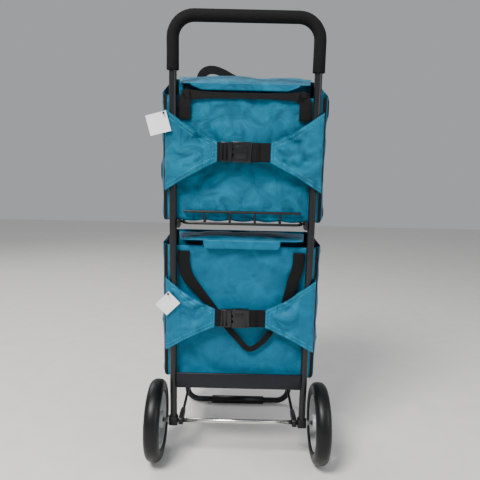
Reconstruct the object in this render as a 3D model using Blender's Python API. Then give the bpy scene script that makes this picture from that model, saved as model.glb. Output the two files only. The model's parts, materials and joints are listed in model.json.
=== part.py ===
"""Shopping trolley on wheels: a folding tube frame that carries two fabric bags.

Metres, +Z up. The person who pulls it stands on the -Y side; the bags and the
foot loop are on the +Y side. The origin is on the floor, under the middle of
the whole trolley. The frame leans back, so nearly every piece is modelled in
the leaning frame's own axes: across (X), forward (square to the uprights) and
up (along the uprights), all measured from the middle of the axle.
"""
import math

import bmesh
import bpy
from mathutils import Matrix, Vector

for stale in list(bpy.data.objects):
    bpy.data.objects.remove(stale, do_unlink=True)

# ---------------------------------------------------------------- dimensions
TOUCH = 0.0003              # gap between two pieces that lie on each other
RUNNING = 0.0005            # play all round a pin, an axle or a sleeve
LEAN = math.radians(3.7)    # how far the uprights lean back

TUBE = 0.016                # bent frame tube, outside
TUBE_WALL = 0.0014
UPRIGHT_SPACING = 0.300     # centre to centre
UPRIGHT_HEIGHT = 0.892      # axle to the middle of the top bar
HANDLE_BEND = 0.044
GRIP = 0.0255               # foam sleeve, outside
GRIP_START = 0.785          # where the foam begins on each upright

WHEEL = 0.186
WHEEL_OUTSET = 0.040        # middle of each wheel, out from the upright's
TYRE_WIDTH = 0.035
TYRE_DEPTH = 0.029
RIM_WIDTH = 0.026
HUB = 0.036
HUB_LENGTH = 0.034
WHEEL_WINDOWS = 6
AXLE = 0.010
HOLDER = 0.020              # block that joins an upright to the axle
WASHER = 0.020
WASHER_THICKNESS = 0.002

CROSSBAR_LOW = 0.086
CROSSBAR_HIGH = 0.122
CROSSBAR_BACK = -0.0085
CROSSBAR_THICKNESS = 0.005

TRAY_WIDTH = 0.248
TRAY_FRONT = 0.288
TRAY_TOP = 0.1037
TRAY_SHEET = 0.0022
TRAY_FLANGE = 0.024
TRAY_PIVOT = (0.032, 0.094)     # forward, up
LINK_REACH = 0.248              # pivot to pivot, along the folding sides
LINK_DROP = 0.008
PIN = 0.006
LUG_INNER = 0.104
LUG_THICKNESS = 0.012
STRUT_ROD = 0.007
STRUT_INSET = 0.0172            # middle of each strut, in from the upright's
STRUT_END_THICKNESS = 0.010
STRUT_END_LENGTH = 0.052
FOOT_INSET = 0.003              # legs of the foot loop, in from the uprights
FOOT_FORWARD = 0.290
FOOT_BEND = 0.036
FOOT_SLEEVE = 0.022
FOOT_SLEEVE_LENGTH = 0.150
FOOT_FLAT = 0.0005              # ground off the sleeve where it stands

SHELF_WIRE = 0.006
SHELF_WIDTH = 0.268
SHELF_FRONT = 0.214
SHELF_REAR = 0.004
SHELF_UP = 0.467
SHELF_GUARD = 0.493             # upper wire behind the bag
SHELF_BARS = 4
SHELF_BAR_PITCH = 0.055
SHELF_PIVOT_FORWARD = 0.027
BRACKET = (0.006, 0.040, 0.018)

BAG_WIDTH = 0.356
BAG_BACK = 0.010
BAG_FRONT = 0.222
BAG_CORNER = 0.030
BAG_WALL = 0.0025
UPPER_BAG = (0.4765, 0.736, 0.795)      # bottom, top of back, top of front
LOWER_BAG = (0.1042, 0.417, 0.404)
BOARD = 0.003
LID = 0.0025
LID_HALF = (0.134, 0.165)        # half width at the free edge and at the hinge
LID_CUT = 0.010                 # corners cut off the free edge
LIP = 0.0115                    # strip that turns down at the free edge

WING_THICKNESS = 0.0022
WING_FORWARD = -0.0124          # middle of the wing where it crosses an upright
WING_INNER = 0.056
WING_ROUND = 0.0164             # where a wing turns, outside the upright's middle
WING_END = 0.0140               # where it is sewn to the side of the bag
UPPER_WING = (0.538, 0.707, 0.601, 0.643)   # outer low, outer high, inner low, high
LOWER_WING = (0.178, 0.347, 0.236, 0.278)
WEBBING = 0.040
WEBBING_THICKNESS = 0.0016
WEBBING_SEWN = 0.022            # webbing hidden behind a wing

BUCKLE_LENGTH = 0.040
BUCKLE_HEIGHT = 0.043
BUCKLE_THICKNESS = 0.012
BUCKLE_WALL = 0.0018
PRONG = 0.024
BUCKLE_BASE = 0.0245
BUCKLE_FORWARD = -0.0104
UPPER_BUCKLE_LEFT = -0.0245     # mouth of the socket
LOWER_BUCKLE_LEFT = -0.0190

HANDLE_WEBBING = 0.026
HANDLE_THICKNESS = 0.0026
TAG = (0.044, 0.042, 0.0008)
TAG_FORWARD = -0.0175
TAG_HOLE = 0.0034
TAG_PIN = 0.0016

# ---------------------------------------------------------- worked-out places
RADIUS = WHEEL / 2
TUBE_RADIUS = TUBE / 2
UPRIGHT = UPRIGHT_SPACING / 2
FOOT_CENTRE_HEIGHT = FOOT_SLEEVE / 2 - FOOT_FLAT
FOOT_UP = (FOOT_CENTRE_HEIGHT - RADIUS - FOOT_FORWARD * math.sin(LEAN)) / math.cos(LEAN)
FRONT_OF_FOOT = (FOOT_FORWARD * math.cos(LEAN) - FOOT_UP * math.sin(LEAN)) + FOOT_SLEEVE / 2
AXLE_Y = -(FRONT_OF_FOOT - RADIUS) / 2
FRONT_PIVOT = (TRAY_PIVOT[0] + LINK_REACH, TRAY_PIVOT[1] - LINK_DROP)
LINK_PIVOT = (LINK_REACH, -LINK_DROP)
FOOT_ACROSS = UPRIGHT - FOOT_INSET
STRUT_ACROSS = UPRIGHT - STRUT_INSET
WHEEL_SPACING = UPRIGHT_SPACING + 2 * WHEEL_OUTSET
WING_OUTER = UPRIGHT + WING_ROUND
# where the folded tray crosses the bar of the foot loop, along the tray
FOLDED_LOOP = TRAY_PIVOT[0] + (FOOT_UP - FRONT_PIVOT[1]) + LINK_REACH


# ------------------------------------------------------------------- helpers
def material(name, red, green, blue, roughness, metallic=0.0):
    """A plain surface: its linear colour, roughness and metal value."""
    made = bpy.data.materials.new(name)
    made.use_nodes = True
    shader = made.node_tree.nodes["Principled BSDF"]
    shader.inputs["Base Color"].default_value = (red, green, blue, 1.0)
    shader.inputs["Roughness"].default_value = roughness
    shader.inputs["Metallic"].default_value = metallic
    made.diffuse_color = (red, green, blue, 1.0)
    return made


PAINT = material("anthracite_paint", 0.030, 0.030, 0.034, 0.38, 0.3)
STEEL = material("bright_steel", 0.62, 0.62, 0.62, 0.25, 1.0)
ZINC = material("zinc_plate", 0.42, 0.43, 0.44, 0.40, 1.0)
FOAM = material("black_foam", 0.012, 0.012, 0.013, 0.85)
RUBBER = material("black_rubber", 0.014, 0.014, 0.015, 0.60)
PLASTIC = material("black_plastic", 0.018, 0.018, 0.020, 0.42)
GREY_PLASTIC = material("grey_plastic", 0.33, 0.34, 0.35, 0.45)
TEAL = material("teal_polyester", 0.012, 0.190, 0.330, 0.70)
BLACK_WEBBING = material("black_webbing", 0.010, 0.010, 0.012, 0.80)
BOARD_FIBRE = material("fibre_board", 0.060, 0.050, 0.040, 0.80)
PAPER = material("white_card", 0.85, 0.85, 0.83, 0.60)

PLACES = {}


def pivot(name, forward, up, across=0.0, parent=None):
    """An empty on a joint's axis, in the leaning frame's own axes."""
    empty = bpy.data.objects.new(name, None)
    bpy.context.scene.collection.objects.link(empty)
    place = Vector((across, forward, up))
    PLACES[name] = place
    empty.parent = parent or FRAME
    empty.location = place - PLACES[empty.parent.name]
    return empty


FRAME = bpy.data.objects.new("leaning_frame", None)
bpy.context.scene.collection.objects.link(FRAME)
FRAME.location = (0.0, AXLE_Y, RADIUS)
FRAME.rotation_euler = (LEAN, 0.0, 0.0)
PLACES[FRAME.name] = Vector((0.0, 0.0, 0.0))


def add_piece(name, shape, finish, parent=FRAME, sharp=30.0):
    """Make an object of a bmesh drawn in the frame's axes, on its pivot."""
    bmesh.ops.translate(shape, verts=shape.verts, vec=-PLACES[parent.name])
    mesh = bpy.data.meshes.new(name)
    shape.to_mesh(mesh)
    shape.free()
    mesh.shade_smooth()
    mesh.set_sharp_from_angle(angle=math.radians(sharp))
    mesh.materials.append(finish)
    piece = bpy.data.objects.new(name, mesh)
    bpy.context.scene.collection.objects.link(piece)
    piece.parent = parent
    return piece


def tool(piece, shape, operation):
    """Cut a hidden shape out of a piece, or weld one to it."""
    count = sum(1 for m in piece.modifiers if m.type == "BOOLEAN")
    name = f"{piece.name}_{operation.lower()}_{count}"
    guide = add_piece(name, shape, piece.data.materials[0], piece.parent)
    guide.hide_render = True
    guide.display_type = "WIRE"
    step = piece.modifiers.new(name, "BOOLEAN")
    step.operation = operation
    step.object = guide
    step.solver = "EXACT"
    return piece


def thicken(piece, thickness, offset):
    """Give a surface its wall: offset -1 grows it inwards, 0 both ways."""
    wall = piece.modifiers.new("wall", "SOLIDIFY")
    wall.thickness = thickness
    wall.offset = offset
    wall.use_even_offset = True
    return piece


def box(low, high, bevel=0.0):
    """A block between two corners, its edges rounded off by bevel."""
    shape = bmesh.new()
    bmesh.ops.create_cube(shape, size=1.0)
    low, high = Vector(low), Vector(high)
    size = high - low
    bmesh.ops.scale(shape, verts=shape.verts, vec=size)
    bmesh.ops.translate(shape, verts=shape.verts, vec=(low + high) / 2)
    if bevel:
        bmesh.ops.bevel(shape, geom=shape.edges, offset=bevel, segments=2,
                        profile=0.5, affect="EDGES")
    return shape


def slab(outline, thickness):
    """A flat outline of points, grown along the thickness vector."""
    shape = bmesh.new()
    face = shape.faces.new([shape.verts.new(point) for point in outline])
    grown = bmesh.ops.extrude_face_region(shape, geom=[face])
    moved = [part for part in grown["geom"] if isinstance(part, bmesh.types.BMVert)]
    bmesh.ops.translate(shape, verts=moved, vec=thickness)
    bmesh.ops.recalc_face_normals(shape, faces=shape.faces)
    return shape


def rod(start, end, diameter, sides=16):
    """A straight round bar between two points."""
    start, end = Vector(start), Vector(end)
    along = end - start
    turn = Vector((0.0, 0.0, 1.0)).rotation_difference(along).to_matrix().to_4x4()
    shape = bmesh.new()
    bmesh.ops.create_cone(shape, cap_ends=True, segments=sides, radius1=diameter / 2,
                          radius2=diameter / 2, depth=along.length,
                          matrix=Matrix.Translation((start + end) / 2) @ turn)
    return shape


def across_rod(inner, outer, place, diameter, side=1, sides=16):
    """A round bar along X on one side, at a (forward, up) place."""
    return rod((side * inner, *place), (side * outer, *place), diameter, sides)


def turned(profile, steps, centre=(0.0, 0.0, 0.0)):
    """A closed (across, radius) profile turned about the X axis."""
    shape = bmesh.new()
    ring = [shape.verts.new((across, 0.0, radius)) for across, radius in profile]
    edges = [shape.edges.new((a, b)) for a, b in zip(ring, ring[1:] + ring[:1])]
    bmesh.ops.spin(shape, geom=ring + edges, cent=(0.0, 0.0, 0.0), axis=(1.0, 0.0, 0.0),
                   angle=math.tau, steps=steps, use_merge=True)
    bmesh.ops.remove_doubles(shape, verts=shape.verts, dist=0.00001)
    bmesh.ops.recalc_face_normals(shape, faces=shape.faces)
    bmesh.ops.translate(shape, verts=shape.verts, vec=centre)
    return shape


def bent_path(corners, radius, steps):
    """The points of a path whose corners are arcs of one radius."""
    corners = [Vector(corner) for corner in corners]
    path = [corners[0]]
    for before, corner, after in zip(corners, corners[1:], corners[2:]):
        back = (before - corner).normalized()
        ahead = (after - corner).normalized()
        half = back.angle(ahead) / 2
        centre = corner + (back + ahead).normalized() * (radius / math.sin(half))
        start = corner + back * (radius / math.tan(half)) - centre
        end = corner + ahead * (radius / math.tan(half)) - centre
        axis = start.cross(end)
        for step in range(steps + 1):
            turn = Matrix.Rotation((math.pi - 2 * half) * step / steps, 3, axis)
            path.append(centre + turn @ start)
    path.append(corners[-1])
    return path


def swept(points, diameter, sides=12, closed=False, capped=True):
    """A round tube skin or solid bar along a path of points."""
    curve = bpy.data.curves.new("path", "CURVE")
    curve.dimensions = "3D"
    curve.bevel_depth = diameter / 2
    curve.bevel_resolution = (sides - 4) // 2
    curve.use_fill_caps = capped and not closed
    spline = curve.splines.new("POLY")
    spline.points.add(len(points) - 1)
    for knot, point in zip(spline.points, points):
        knot.co = (*point, 1.0)
    spline.use_cyclic_u = closed
    holder = bpy.data.objects.new("path", curve)
    mesh = bpy.data.meshes.new_from_object(holder)
    shape = bmesh.new()
    shape.from_mesh(mesh)
    bmesh.ops.remove_doubles(shape, verts=shape.verts, dist=0.00001)
    bmesh.ops.recalc_face_normals(shape, faces=shape.faces)
    bpy.data.objects.remove(holder)
    bpy.data.curves.remove(curve)
    bpy.data.meshes.remove(mesh)
    return shape


def ribbon(stations, width_at):
    """A strip along (across, forward, up) stations, its width up the frame's face."""
    shape = bmesh.new()
    stations = [Vector(station) for station in stations]
    edge = None
    for index, station in enumerate(stations):
        before = stations[max(index - 1, 0)]
        after = stations[min(index + 1, len(stations) - 1)]
        along = (after - before).normalized()
        sideways = along.cross(Vector((0.0, 1.0, 0.0))).normalized()
        half = width_at(index / (len(stations) - 1)) / 2
        pair = (shape.verts.new(station - sideways * half),
                shape.verts.new(station + sideways * half))
        if edge:
            shape.faces.new((edge[0], pair[0], pair[1], edge[1]))
        edge = pair
    return shape


def mirror_sides():
    """The two sides of the trolley, as a sign and a name."""
    return ((-1, "left"), (1, "right"))


# --------------------------------------------------------------- main frame
def build_frame():
    """The bent tube, its foam grip, the crossbar and the axle with its blocks."""
    foot_of_upright = HOLDER / 2 + TOUCH
    legs = [(-UPRIGHT, 0.0, foot_of_upright), (-UPRIGHT, 0.0, UPRIGHT_HEIGHT),
            (UPRIGHT, 0.0, UPRIGHT_HEIGHT), (UPRIGHT, 0.0, foot_of_upright)]
    tube = add_piece("main_tube", swept(bent_path(legs, HANDLE_BEND, 8), TUBE, 16,
                                        capped=False), PAINT)
    thicken(tube, TUBE_WALL, -1.0)

    grip_legs = [(x, v, max(u, GRIP_START)) for x, v, u in legs]
    grip = add_piece("handle_grip", swept(bent_path(grip_legs, HANDLE_BEND, 8), GRIP, 16,
                                          capped=False), FOAM)
    thicken(grip, (GRIP - TUBE) / 2 - RUNNING, -1.0)

    end = UPRIGHT - TUBE_RADIUS + RUNNING
    front = CROSSBAR_BACK + CROSSBAR_THICKNESS
    bar = add_piece("crossbar", box((-end, CROSSBAR_BACK, CROSSBAR_LOW),
                                    (end, front, CROSSBAR_HIGH), 0.0008), PAINT)
    lug_half = 0.0065
    for side, _ in mirror_sides():
        ends = sorted((side * LUG_INNER, side * (LUG_INNER + LUG_THICKNESS)))
        tool(bar, box((ends[0], front - 0.001, TRAY_PIVOT[1] - lug_half),
                      (ends[1], TRAY_PIVOT[0] + lug_half, TRAY_PIVOT[1] + lug_half)), "UNION")
    for side, _ in mirror_sides():
        tool(bar, across_rod(LUG_INNER - 0.004, LUG_INNER + LUG_THICKNESS + 0.004,
                             TRAY_PIVOT, PIN + 2 * RUNNING, side), "DIFFERENCE")

    half_axle = WHEEL_SPACING / 2 + HUB_LENGTH / 2
    add_piece("axle", across_rod(-half_axle, half_axle, (0.0, 0.0), AXLE, sides=20), STEEL)
    for side, word in mirror_sides():
        ends = sorted((side * (UPRIGHT - HOLDER / 2), side * (UPRIGHT + HOLDER / 2)))
        block = add_piece(f"axle_holder_{word}",
                          box((ends[0], -HOLDER / 2, -HOLDER / 2),
                              (ends[1], HOLDER / 2, HOLDER / 2), 0.002), PLASTIC)
        tool(block, across_rod(UPRIGHT - HOLDER, UPRIGHT + HOLDER, (0.0, 0.0),
                               AXLE + 2 * RUNNING, side, 20), "DIFFERENCE")
        inner = UPRIGHT + HOLDER / 2 + TOUCH
        hole = AXLE / 2 + RUNNING
        add_piece(f"axle_washer_{word}",
                  turned([(side * inner, hole), (side * inner, WASHER / 2),
                          (side * (inner + WASHER_THICKNESS), WASHER / 2),
                          (side * (inner + WASHER_THICKNESS), hole)], 24), ZINC)


# ------------------------------------------------------------------- wheels
def build_wheel(side, word):
    """A rubber tyre on a spoked plastic rim, with a cap on the axle's end."""
    spin = pivot(f"wheel_{word}_axis", 0.0, 0.0, side * WHEEL_SPACING / 2)
    centre = (side * WHEEL_SPACING / 2, 0.0, 0.0)
    half = TYRE_WIDTH / 2
    inner = RADIUS - TYRE_DEPTH
    arc = [(half * math.sin(turn), RADIUS - 0.010 + 0.010 * math.cos(turn))
           for turn in [math.pi / 2 * step / 4 for step in range(-4, 5)]]
    profile = [(-half + 0.003, inner)] + arc + [(half - 0.003, inner)]
    add_piece(f"tyre_{word}", turned(profile, 48, centre), RUBBER, spin)

    rim_half = RIM_WIDTH / 2
    seat = inner - TOUCH
    hub_half = HUB_LENGTH / 2 - 0.002
    web = 0.0025
    hole = AXLE / 2 + RUNNING
    lip = 0.007
    rim_profile = [(-hub_half, hole), (-hub_half, HUB / 2), (-web, HUB / 2 + 0.002),
                   (-web, seat - lip - 0.002), (-rim_half, seat - lip), (-rim_half, seat),
                   (rim_half, seat), (rim_half, seat - lip), (web, seat - lip - 0.002),
                   (web, HUB / 2 + 0.002), (hub_half, HUB / 2), (hub_half, hole)]
    rim = add_piece(f"rim_{word}", turned(rim_profile, 48, centre), GREY_PLASTIC, spin)
    low, high = HUB / 2 + 0.006, seat - lip - 0.006
    spread = math.radians(19.0)
    for index in range(WHEEL_WINDOWS):
        aim = math.tau * index / WHEEL_WINDOWS
        turns = [aim - spread, aim - spread / 3, aim + spread / 3, aim + spread]
        outline = [(high, turn) for turn in turns] + [(low, turn) for turn in turns[::-1]]
        window = slab([(centre[0] - rim_half, radius * math.sin(turn), radius * math.cos(turn))
                       for radius, turn in outline], (2 * rim_half, 0.0, 0.0))
        tool(rim, window, "DIFFERENCE")

    start = centre[0] + side * (HUB_LENGTH / 2 + TOUCH)
    cap = [(start, 0.0), (start, 0.011), (start + side * 0.003, 0.011),
           (start + side * 0.006, 0.007), (start + side * 0.007, 0.0)]
    steps = turned_cap(cap, 24)
    add_piece(f"hub_cap_{word}", steps, PLASTIC, spin)


def turned_cap(profile, steps):
    """A profile that starts and ends on the X axis, turned into a button."""
    shape = bmesh.new()
    line = [shape.verts.new((across, 0.0, radius)) for across, radius in profile]
    edges = [shape.edges.new((a, b)) for a, b in zip(line, line[1:])]
    bmesh.ops.spin(shape, geom=line + edges, cent=(0.0, 0.0, 0.0), axis=(1.0, 0.0, 0.0),
                   angle=math.tau, steps=steps, use_merge=True)
    bmesh.ops.remove_doubles(shape, verts=shape.verts, dist=0.00001)
    bmesh.ops.recalc_face_normals(shape, faces=shape.faces)
    return shape


# ----------------------------------------------------- folding lower platform
def build_platform(tray_axis):
    """A pressed tray that swings up about its rear pins."""
    half = TRAY_WIDTH / 2
    skin = TRAY_SHEET
    low = TRAY_TOP - TRAY_FLANGE
    rear = TRAY_PIVOT[0] - 0.009
    section = [(-half, low), (-half, TRAY_TOP), (half, TRAY_TOP), (half, low),
               (half - skin, low), (half - skin, TRAY_TOP - skin),
               (-half + skin, TRAY_TOP - skin), (-half + skin, low)]
    tray = add_piece("lower_tray", slab([(across, rear, up) for across, up in section],
                                        (0.0, TRAY_FRONT - rear, 0.0)), PAINT, tray_axis)
    notch = half - skin - TOUCH
    tool(tray, box((-notch, rear - 0.01, TRAY_TOP - 2 * skin),
                   (notch, TRAY_PIVOT[0] + 0.010, TRAY_TOP + skin)), "DIFFERENCE")
    tool(tray, box((-half - 0.001, FOLDED_LOOP - 0.018, low - 0.001),
                   (half + 0.001, FOLDED_LOOP + 0.018, low + 0.0065)), "DIFFERENCE")
    for side, word in mirror_sides():
        for place in (TRAY_PIVOT, FRONT_PIVOT):
            tool(tray, across_rod(half - 3 * skin, half + skin, place, PIN + 2 * RUNNING, side),
                 "DIFFERENCE")
        add_piece(f"tray_pin_{word}", across_rod(LUG_INNER - 0.001, half + 0.0015, TRAY_PIVOT,
                                                 PIN, side), STEEL, tray_axis)
        add_piece(f"foot_pin_{word}", across_rod(half - skin - 0.0015, FOOT_ACROSS + TUBE_RADIUS
                                                 + 0.0015, FRONT_PIVOT, PIN, side), STEEL,
                  tray_axis)
    inset = 0.012
    add_piece("lower_base_board",
              box((-BAG_WIDTH / 2 + inset, BAG_BACK + inset, LOWER_BAG[0] + BAG_WALL + TOUCH),
                  (BAG_WIDTH / 2 - inset, BAG_FRONT - inset,
                   LOWER_BAG[0] + BAG_WALL + TOUCH + BOARD)), BOARD_FIBRE, tray_axis)


def build_strut(side, word):
    """A rod from a plastic end on the axle to an eye behind the foot loop."""
    axis = pivot(f"strut_{word}_axis", 0.0, 0.0, side * STRUT_ACROSS)
    along = Vector((0.0, *LINK_PIVOT)).normalized()
    up = Vector((0.0, -along.z, along.y))
    middle = Vector((side * STRUT_ACROSS, 0.0, 0.0))
    eye = middle + along * Vector(LINK_PIVOT).length
    half = STRUT_END_THICKNESS / 2
    socket = STRUT_END_LENGTH

    big, small = 0.0105, 0.0055
    outline = [middle + along * (big * math.cos(turn)) + up * (big * math.sin(turn))
               for turn in [math.radians(80 + 200 * step / 8) for step in range(9)]]
    outline += [middle + along * socket - up * small, middle + along * socket + up * small]
    sideways = Vector((side * half, 0.0, 0.0))
    bracket = add_piece(f"strut_end_{word}", slab([p - sideways for p in outline],
                                                  2 * sideways), PLASTIC, axis)
    tool(bracket, across_rod(STRUT_ACROSS - 2 * half, STRUT_ACROSS + 2 * half, (0.0, 0.0),
                             AXLE + 2 * RUNNING, side, 20), "DIFFERENCE")
    tool(bracket, rod(middle + along * (AXLE / 2 + 0.012), middle + along * (socket + 0.01),
                      STRUT_ROD + 2 * TOUCH + 0.0002), "DIFFERENCE")

    bar = add_piece(f"strut_{word}", rod(middle + along * (AXLE / 2 + 0.0125),
                                         eye - along * 0.004, STRUT_ROD, 12), PAINT, axis)
    eye_half = 0.0028
    inner, outer = STRUT_ACROSS - eye_half, STRUT_ACROSS + eye_half
    tool(bar, across_rod(inner, outer, LINK_PIVOT, 0.015, side, 20), "UNION")
    tool(bar, across_rod(inner - 0.003, outer + 0.003, LINK_PIVOT, PIN + 0.0016, side),
         "DIFFERENCE")


def build_foot(foot_axis):
    """The U-shaped foot loop that hangs from the tray and stands on the floor."""
    top = FRONT_PIVOT[1] + 0.012
    lean_in = FRONT_PIVOT[0]
    corners = [(-FOOT_ACROSS, lean_in, top), (-FOOT_ACROSS, FOOT_FORWARD, FOOT_UP),
               (FOOT_ACROSS, FOOT_FORWARD, FOOT_UP), (FOOT_ACROSS, lean_in, top)]
    loop = add_piece("foot_loop", swept(bent_path(corners, FOOT_BEND, 7), TUBE, 16,
                                        capped=False), PAINT, foot_axis)
    thicken(loop, TUBE_WALL, -1.0)
    lug_outer = UPRIGHT - TUBE_RADIUS - 0.0006
    lug_inner = lug_outer - 0.003
    leg = Vector((0.0, lean_in - FOOT_FORWARD, top - FOOT_UP)).normalized()
    leg_at_lug = lean_in + leg.y / leg.z * (LINK_PIVOT[1] - top)
    for side, word in mirror_sides():
        ends = sorted((side * lug_inner, side * lug_outer))
        tool(loop, box((ends[0], LINK_PIVOT[0] - 0.007, LINK_PIVOT[1] - 0.007),
                       (ends[1], leg_at_lug - 0.0047, LINK_PIVOT[1] + 0.007)), "UNION")
        tool(loop, across_rod(lug_inner - 0.002, lug_outer + 0.002, LINK_PIVOT,
                              PIN + 2 * TOUCH, side), "DIFFERENCE")
        tool(loop, across_rod(FOOT_ACROSS - TUBE, FOOT_ACROSS + TUBE, FRONT_PIVOT,
                              PIN + 2 * RUNNING, side), "DIFFERENCE")
        add_piece(f"link_pin_{word}", across_rod(STRUT_ACROSS - 0.0045, lug_outer, LINK_PIVOT,
                                                 PIN, side), STEEL, foot_axis)
        end = Vector((side * FOOT_ACROSS, lean_in, top))
        add_piece(f"foot_plug_{word}", rod(end + leg * TOUCH, end + leg * 0.003, TUBE),
                  PLASTIC, foot_axis)

    half = FOOT_SLEEVE_LENGTH / 2
    sleeve = add_piece("foot_sleeve", rod((-half, FOOT_FORWARD, FOOT_UP),
                                          (half, FOOT_FORWARD, FOOT_UP), FOOT_SLEEVE, 24),
                       RUBBER, foot_axis)
    tool(sleeve, rod((-2 * half, FOOT_FORWARD, FOOT_UP), (2 * half, FOOT_FORWARD, FOOT_UP),
                     TUBE + 2 * RUNNING, 24), "DIFFERENCE")
    floor = box((-2 * half, -0.03, -FOOT_CENTRE_HEIGHT - 0.02), (2 * half, 0.03,
                                                                 -FOOT_CENTRE_HEIGHT))
    bmesh.ops.rotate(floor, verts=floor.verts, cent=(0.0, 0.0, 0.0),
                     matrix=Matrix.Rotation(-LEAN, 3, "X"))
    bmesh.ops.translate(floor, verts=floor.verts, vec=(0.0, FOOT_FORWARD, FOOT_UP))
    tool(sleeve, floor, "DIFFERENCE")


# ------------------------------------------------------- folding upper shelf
def build_shelf():
    """A welded wire rack that holds up the upper bag, on two brackets."""
    place = (SHELF_PIVOT_FORWARD, SHELF_UP)
    axis = pivot("shelf_axis", *place)
    half = SHELF_WIDTH / 2 - SHELF_WIRE / 2
    radius = 0.018
    rim = [(0.0, SHELF_REAR, SHELF_UP), (half, SHELF_REAR, SHELF_UP),
           (half, SHELF_FRONT, SHELF_UP), (-half, SHELF_FRONT, SHELF_UP),
           (-half, SHELF_REAR, SHELF_UP), (0.0, SHELF_REAR, SHELF_UP)]
    rim_path = bent_path(rim, radius, 4)[:-1]
    shelf = add_piece("wire_shelf", swept(rim_path, SHELF_WIRE, 10, closed=True), PAINT, axis)
    guard_half = half - 0.004
    tool(shelf, rod((-guard_half, SHELF_REAR, SHELF_GUARD), (guard_half, SHELF_REAR,
                                                             SHELF_GUARD), SHELF_WIRE, 10),
         "UNION")
    bar_up = SHELF_UP + SHELF_WIRE / 2 + 0.0005
    for index in range(SHELF_BARS):
        across = SHELF_BAR_PITCH * (index - (SHELF_BARS - 1) / 2)
        tool(shelf, rod((across, SHELF_REAR + 0.001, SHELF_UP + 0.001),
                        (across, SHELF_REAR + 0.001, SHELF_GUARD), 0.005, 10), "UNION")
        tool(shelf, rod((across, SHELF_REAR, bar_up - 0.001),
                        (across, SHELF_FRONT + 0.001, bar_up - 0.001), 0.005, 10), "UNION")
    bracket_inner = UPRIGHT - TUBE_RADIUS - TOUCH - BRACKET[0]
    for side, word in mirror_sides():
        tool(shelf, across_rod(half, UPRIGHT - TUBE_RADIUS - 2 * TOUCH, place, 0.005, side, 10),
             "UNION")
        ends = sorted((side * bracket_inner, side * (bracket_inner + BRACKET[0])))
        bracket = add_piece(f"shelf_bracket_{word}",
                            box((ends[0], -TUBE_RADIUS, SHELF_UP - BRACKET[2] / 2),
                                (ends[1], BRACKET[1] - TUBE_RADIUS, SHELF_UP
                                 + BRACKET[2] / 2 - 0.0005), 0.0006), PAINT)
        tool(bracket, across_rod(bracket_inner - 0.01, bracket_inner + 0.02, place,
                                 0.005 + 2 * RUNNING, side), "DIFFERENCE")
    inset = 0.012
    bottom = UPPER_BAG[0] + BAG_WALL + TOUCH
    add_piece("upper_base_board",
              box((-BAG_WIDTH / 2 + inset, BAG_BACK + inset, bottom),
                  (BAG_WIDTH / 2 - inset, BAG_FRONT - inset, bottom + BOARD)),
              BOARD_FIBRE, axis)


# --------------------------------------------------------------------- bags
def build_bag(name, levels):
    """An open-topped fabric shell with round corners and a sloping rim."""
    bottom, back, front = levels
    half = BAG_WIDTH / 2
    corners = [(half, BAG_FRONT), (-half, BAG_FRONT), (-half, BAG_BACK), (half, BAG_BACK)]
    ways = [(0.0, math.pi / 2), (math.pi / 2, math.pi), (math.pi, 1.5 * math.pi),
            (1.5 * math.pi, math.tau)]
    outline = []
    for (across, forward), (begin, finish) in zip(corners, ways):
        centre = (across - math.copysign(BAG_CORNER, across),
                  forward - BAG_CORNER if forward == BAG_FRONT else forward + BAG_CORNER)
        for step in range(5):
            turn = begin + (finish - begin) * step / 4
            outline.append((centre[0] + BAG_CORNER * math.cos(turn),
                            centre[1] + BAG_CORNER * math.sin(turn)))
    slope = (front - back) / (BAG_FRONT - BAG_BACK)
    shape = bmesh.new()
    floor = [shape.verts.new((across, forward, bottom)) for across, forward in outline]
    rim = [shape.verts.new((across, forward, back + slope * (forward - BAG_BACK)))
           for across, forward in outline]
    shape.faces.new(floor[::-1])
    count = len(outline)
    for index in range(count):
        after = (index + 1) % count
        shape.faces.new((floor[index], floor[after], rim[after], rim[index]))
    bag = add_piece(name, shape, TEAL)
    return thicken(bag, BAG_WALL, -1.0)


def build_lid(name, hinge, free, lip_half):
    """A flap that hinges on the front edge of its bag, with a lip along its free edge."""
    half_rear, half_front = LID_HALF
    cut_corner = LID_CUT
    axis = pivot(f"{name}_axis", *hinge)
    rise = (hinge[1] - free[1]) / (hinge[0] - free[0])

    def at(across, forward):
        return (across, forward, free[1] + rise * (forward - free[0]))

    near = free[0] + cut_corner
    outline = [at(-half_front, hinge[0]), at(-half_rear, near),
               at(-half_rear + 1.6 * cut_corner, free[0]),
               at(half_rear - 1.6 * cut_corner, free[0]), at(half_rear, near),
               at(half_front, hinge[0])]
    lid = add_piece(name, slab(outline, (0.0, 0.0, LID)), TEAL, axis)
    tool(lid, box((-lip_half, free[0], free[1] - LIP),
                  (lip_half, free[0] + LID, free[1] + LID / 2)), "UNION")


def build_wings(bag, levels):
    """Two flaps that wrap round the uprights, each with webbing to the buckle."""
    outer_low, outer_high, inner_low, inner_high = levels
    turn_radius = 0.010
    for side, word in mirror_sides():
        path = bent_path([(side * WING_INNER, WING_FORWARD, 0.0),
                          (side * WING_OUTER, WING_FORWARD, 0.0),
                          (side * WING_OUTER, WING_END, 0.0)], turn_radius, 4)
        total = WING_OUTER - WING_INNER
        shape = bmesh.new()
        previous = None
        for point in path:
            share = min(1.0, (abs(point.x) - WING_INNER) / total)
            low = inner_low + (outer_low - inner_low) * share
            high = inner_high + (outer_high - inner_high) * share
            pair = (shape.verts.new((point.x, point.y, low)),
                    shape.verts.new((point.x, point.y, high)))
            if previous:
                shape.faces.new((previous[0], pair[0], pair[1], previous[1]))
            previous = pair
        wing = add_piece(f"{bag}_wing_{word}", shape, TEAL)
        thicken(wing, WING_THICKNESS, 0.0)


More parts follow.
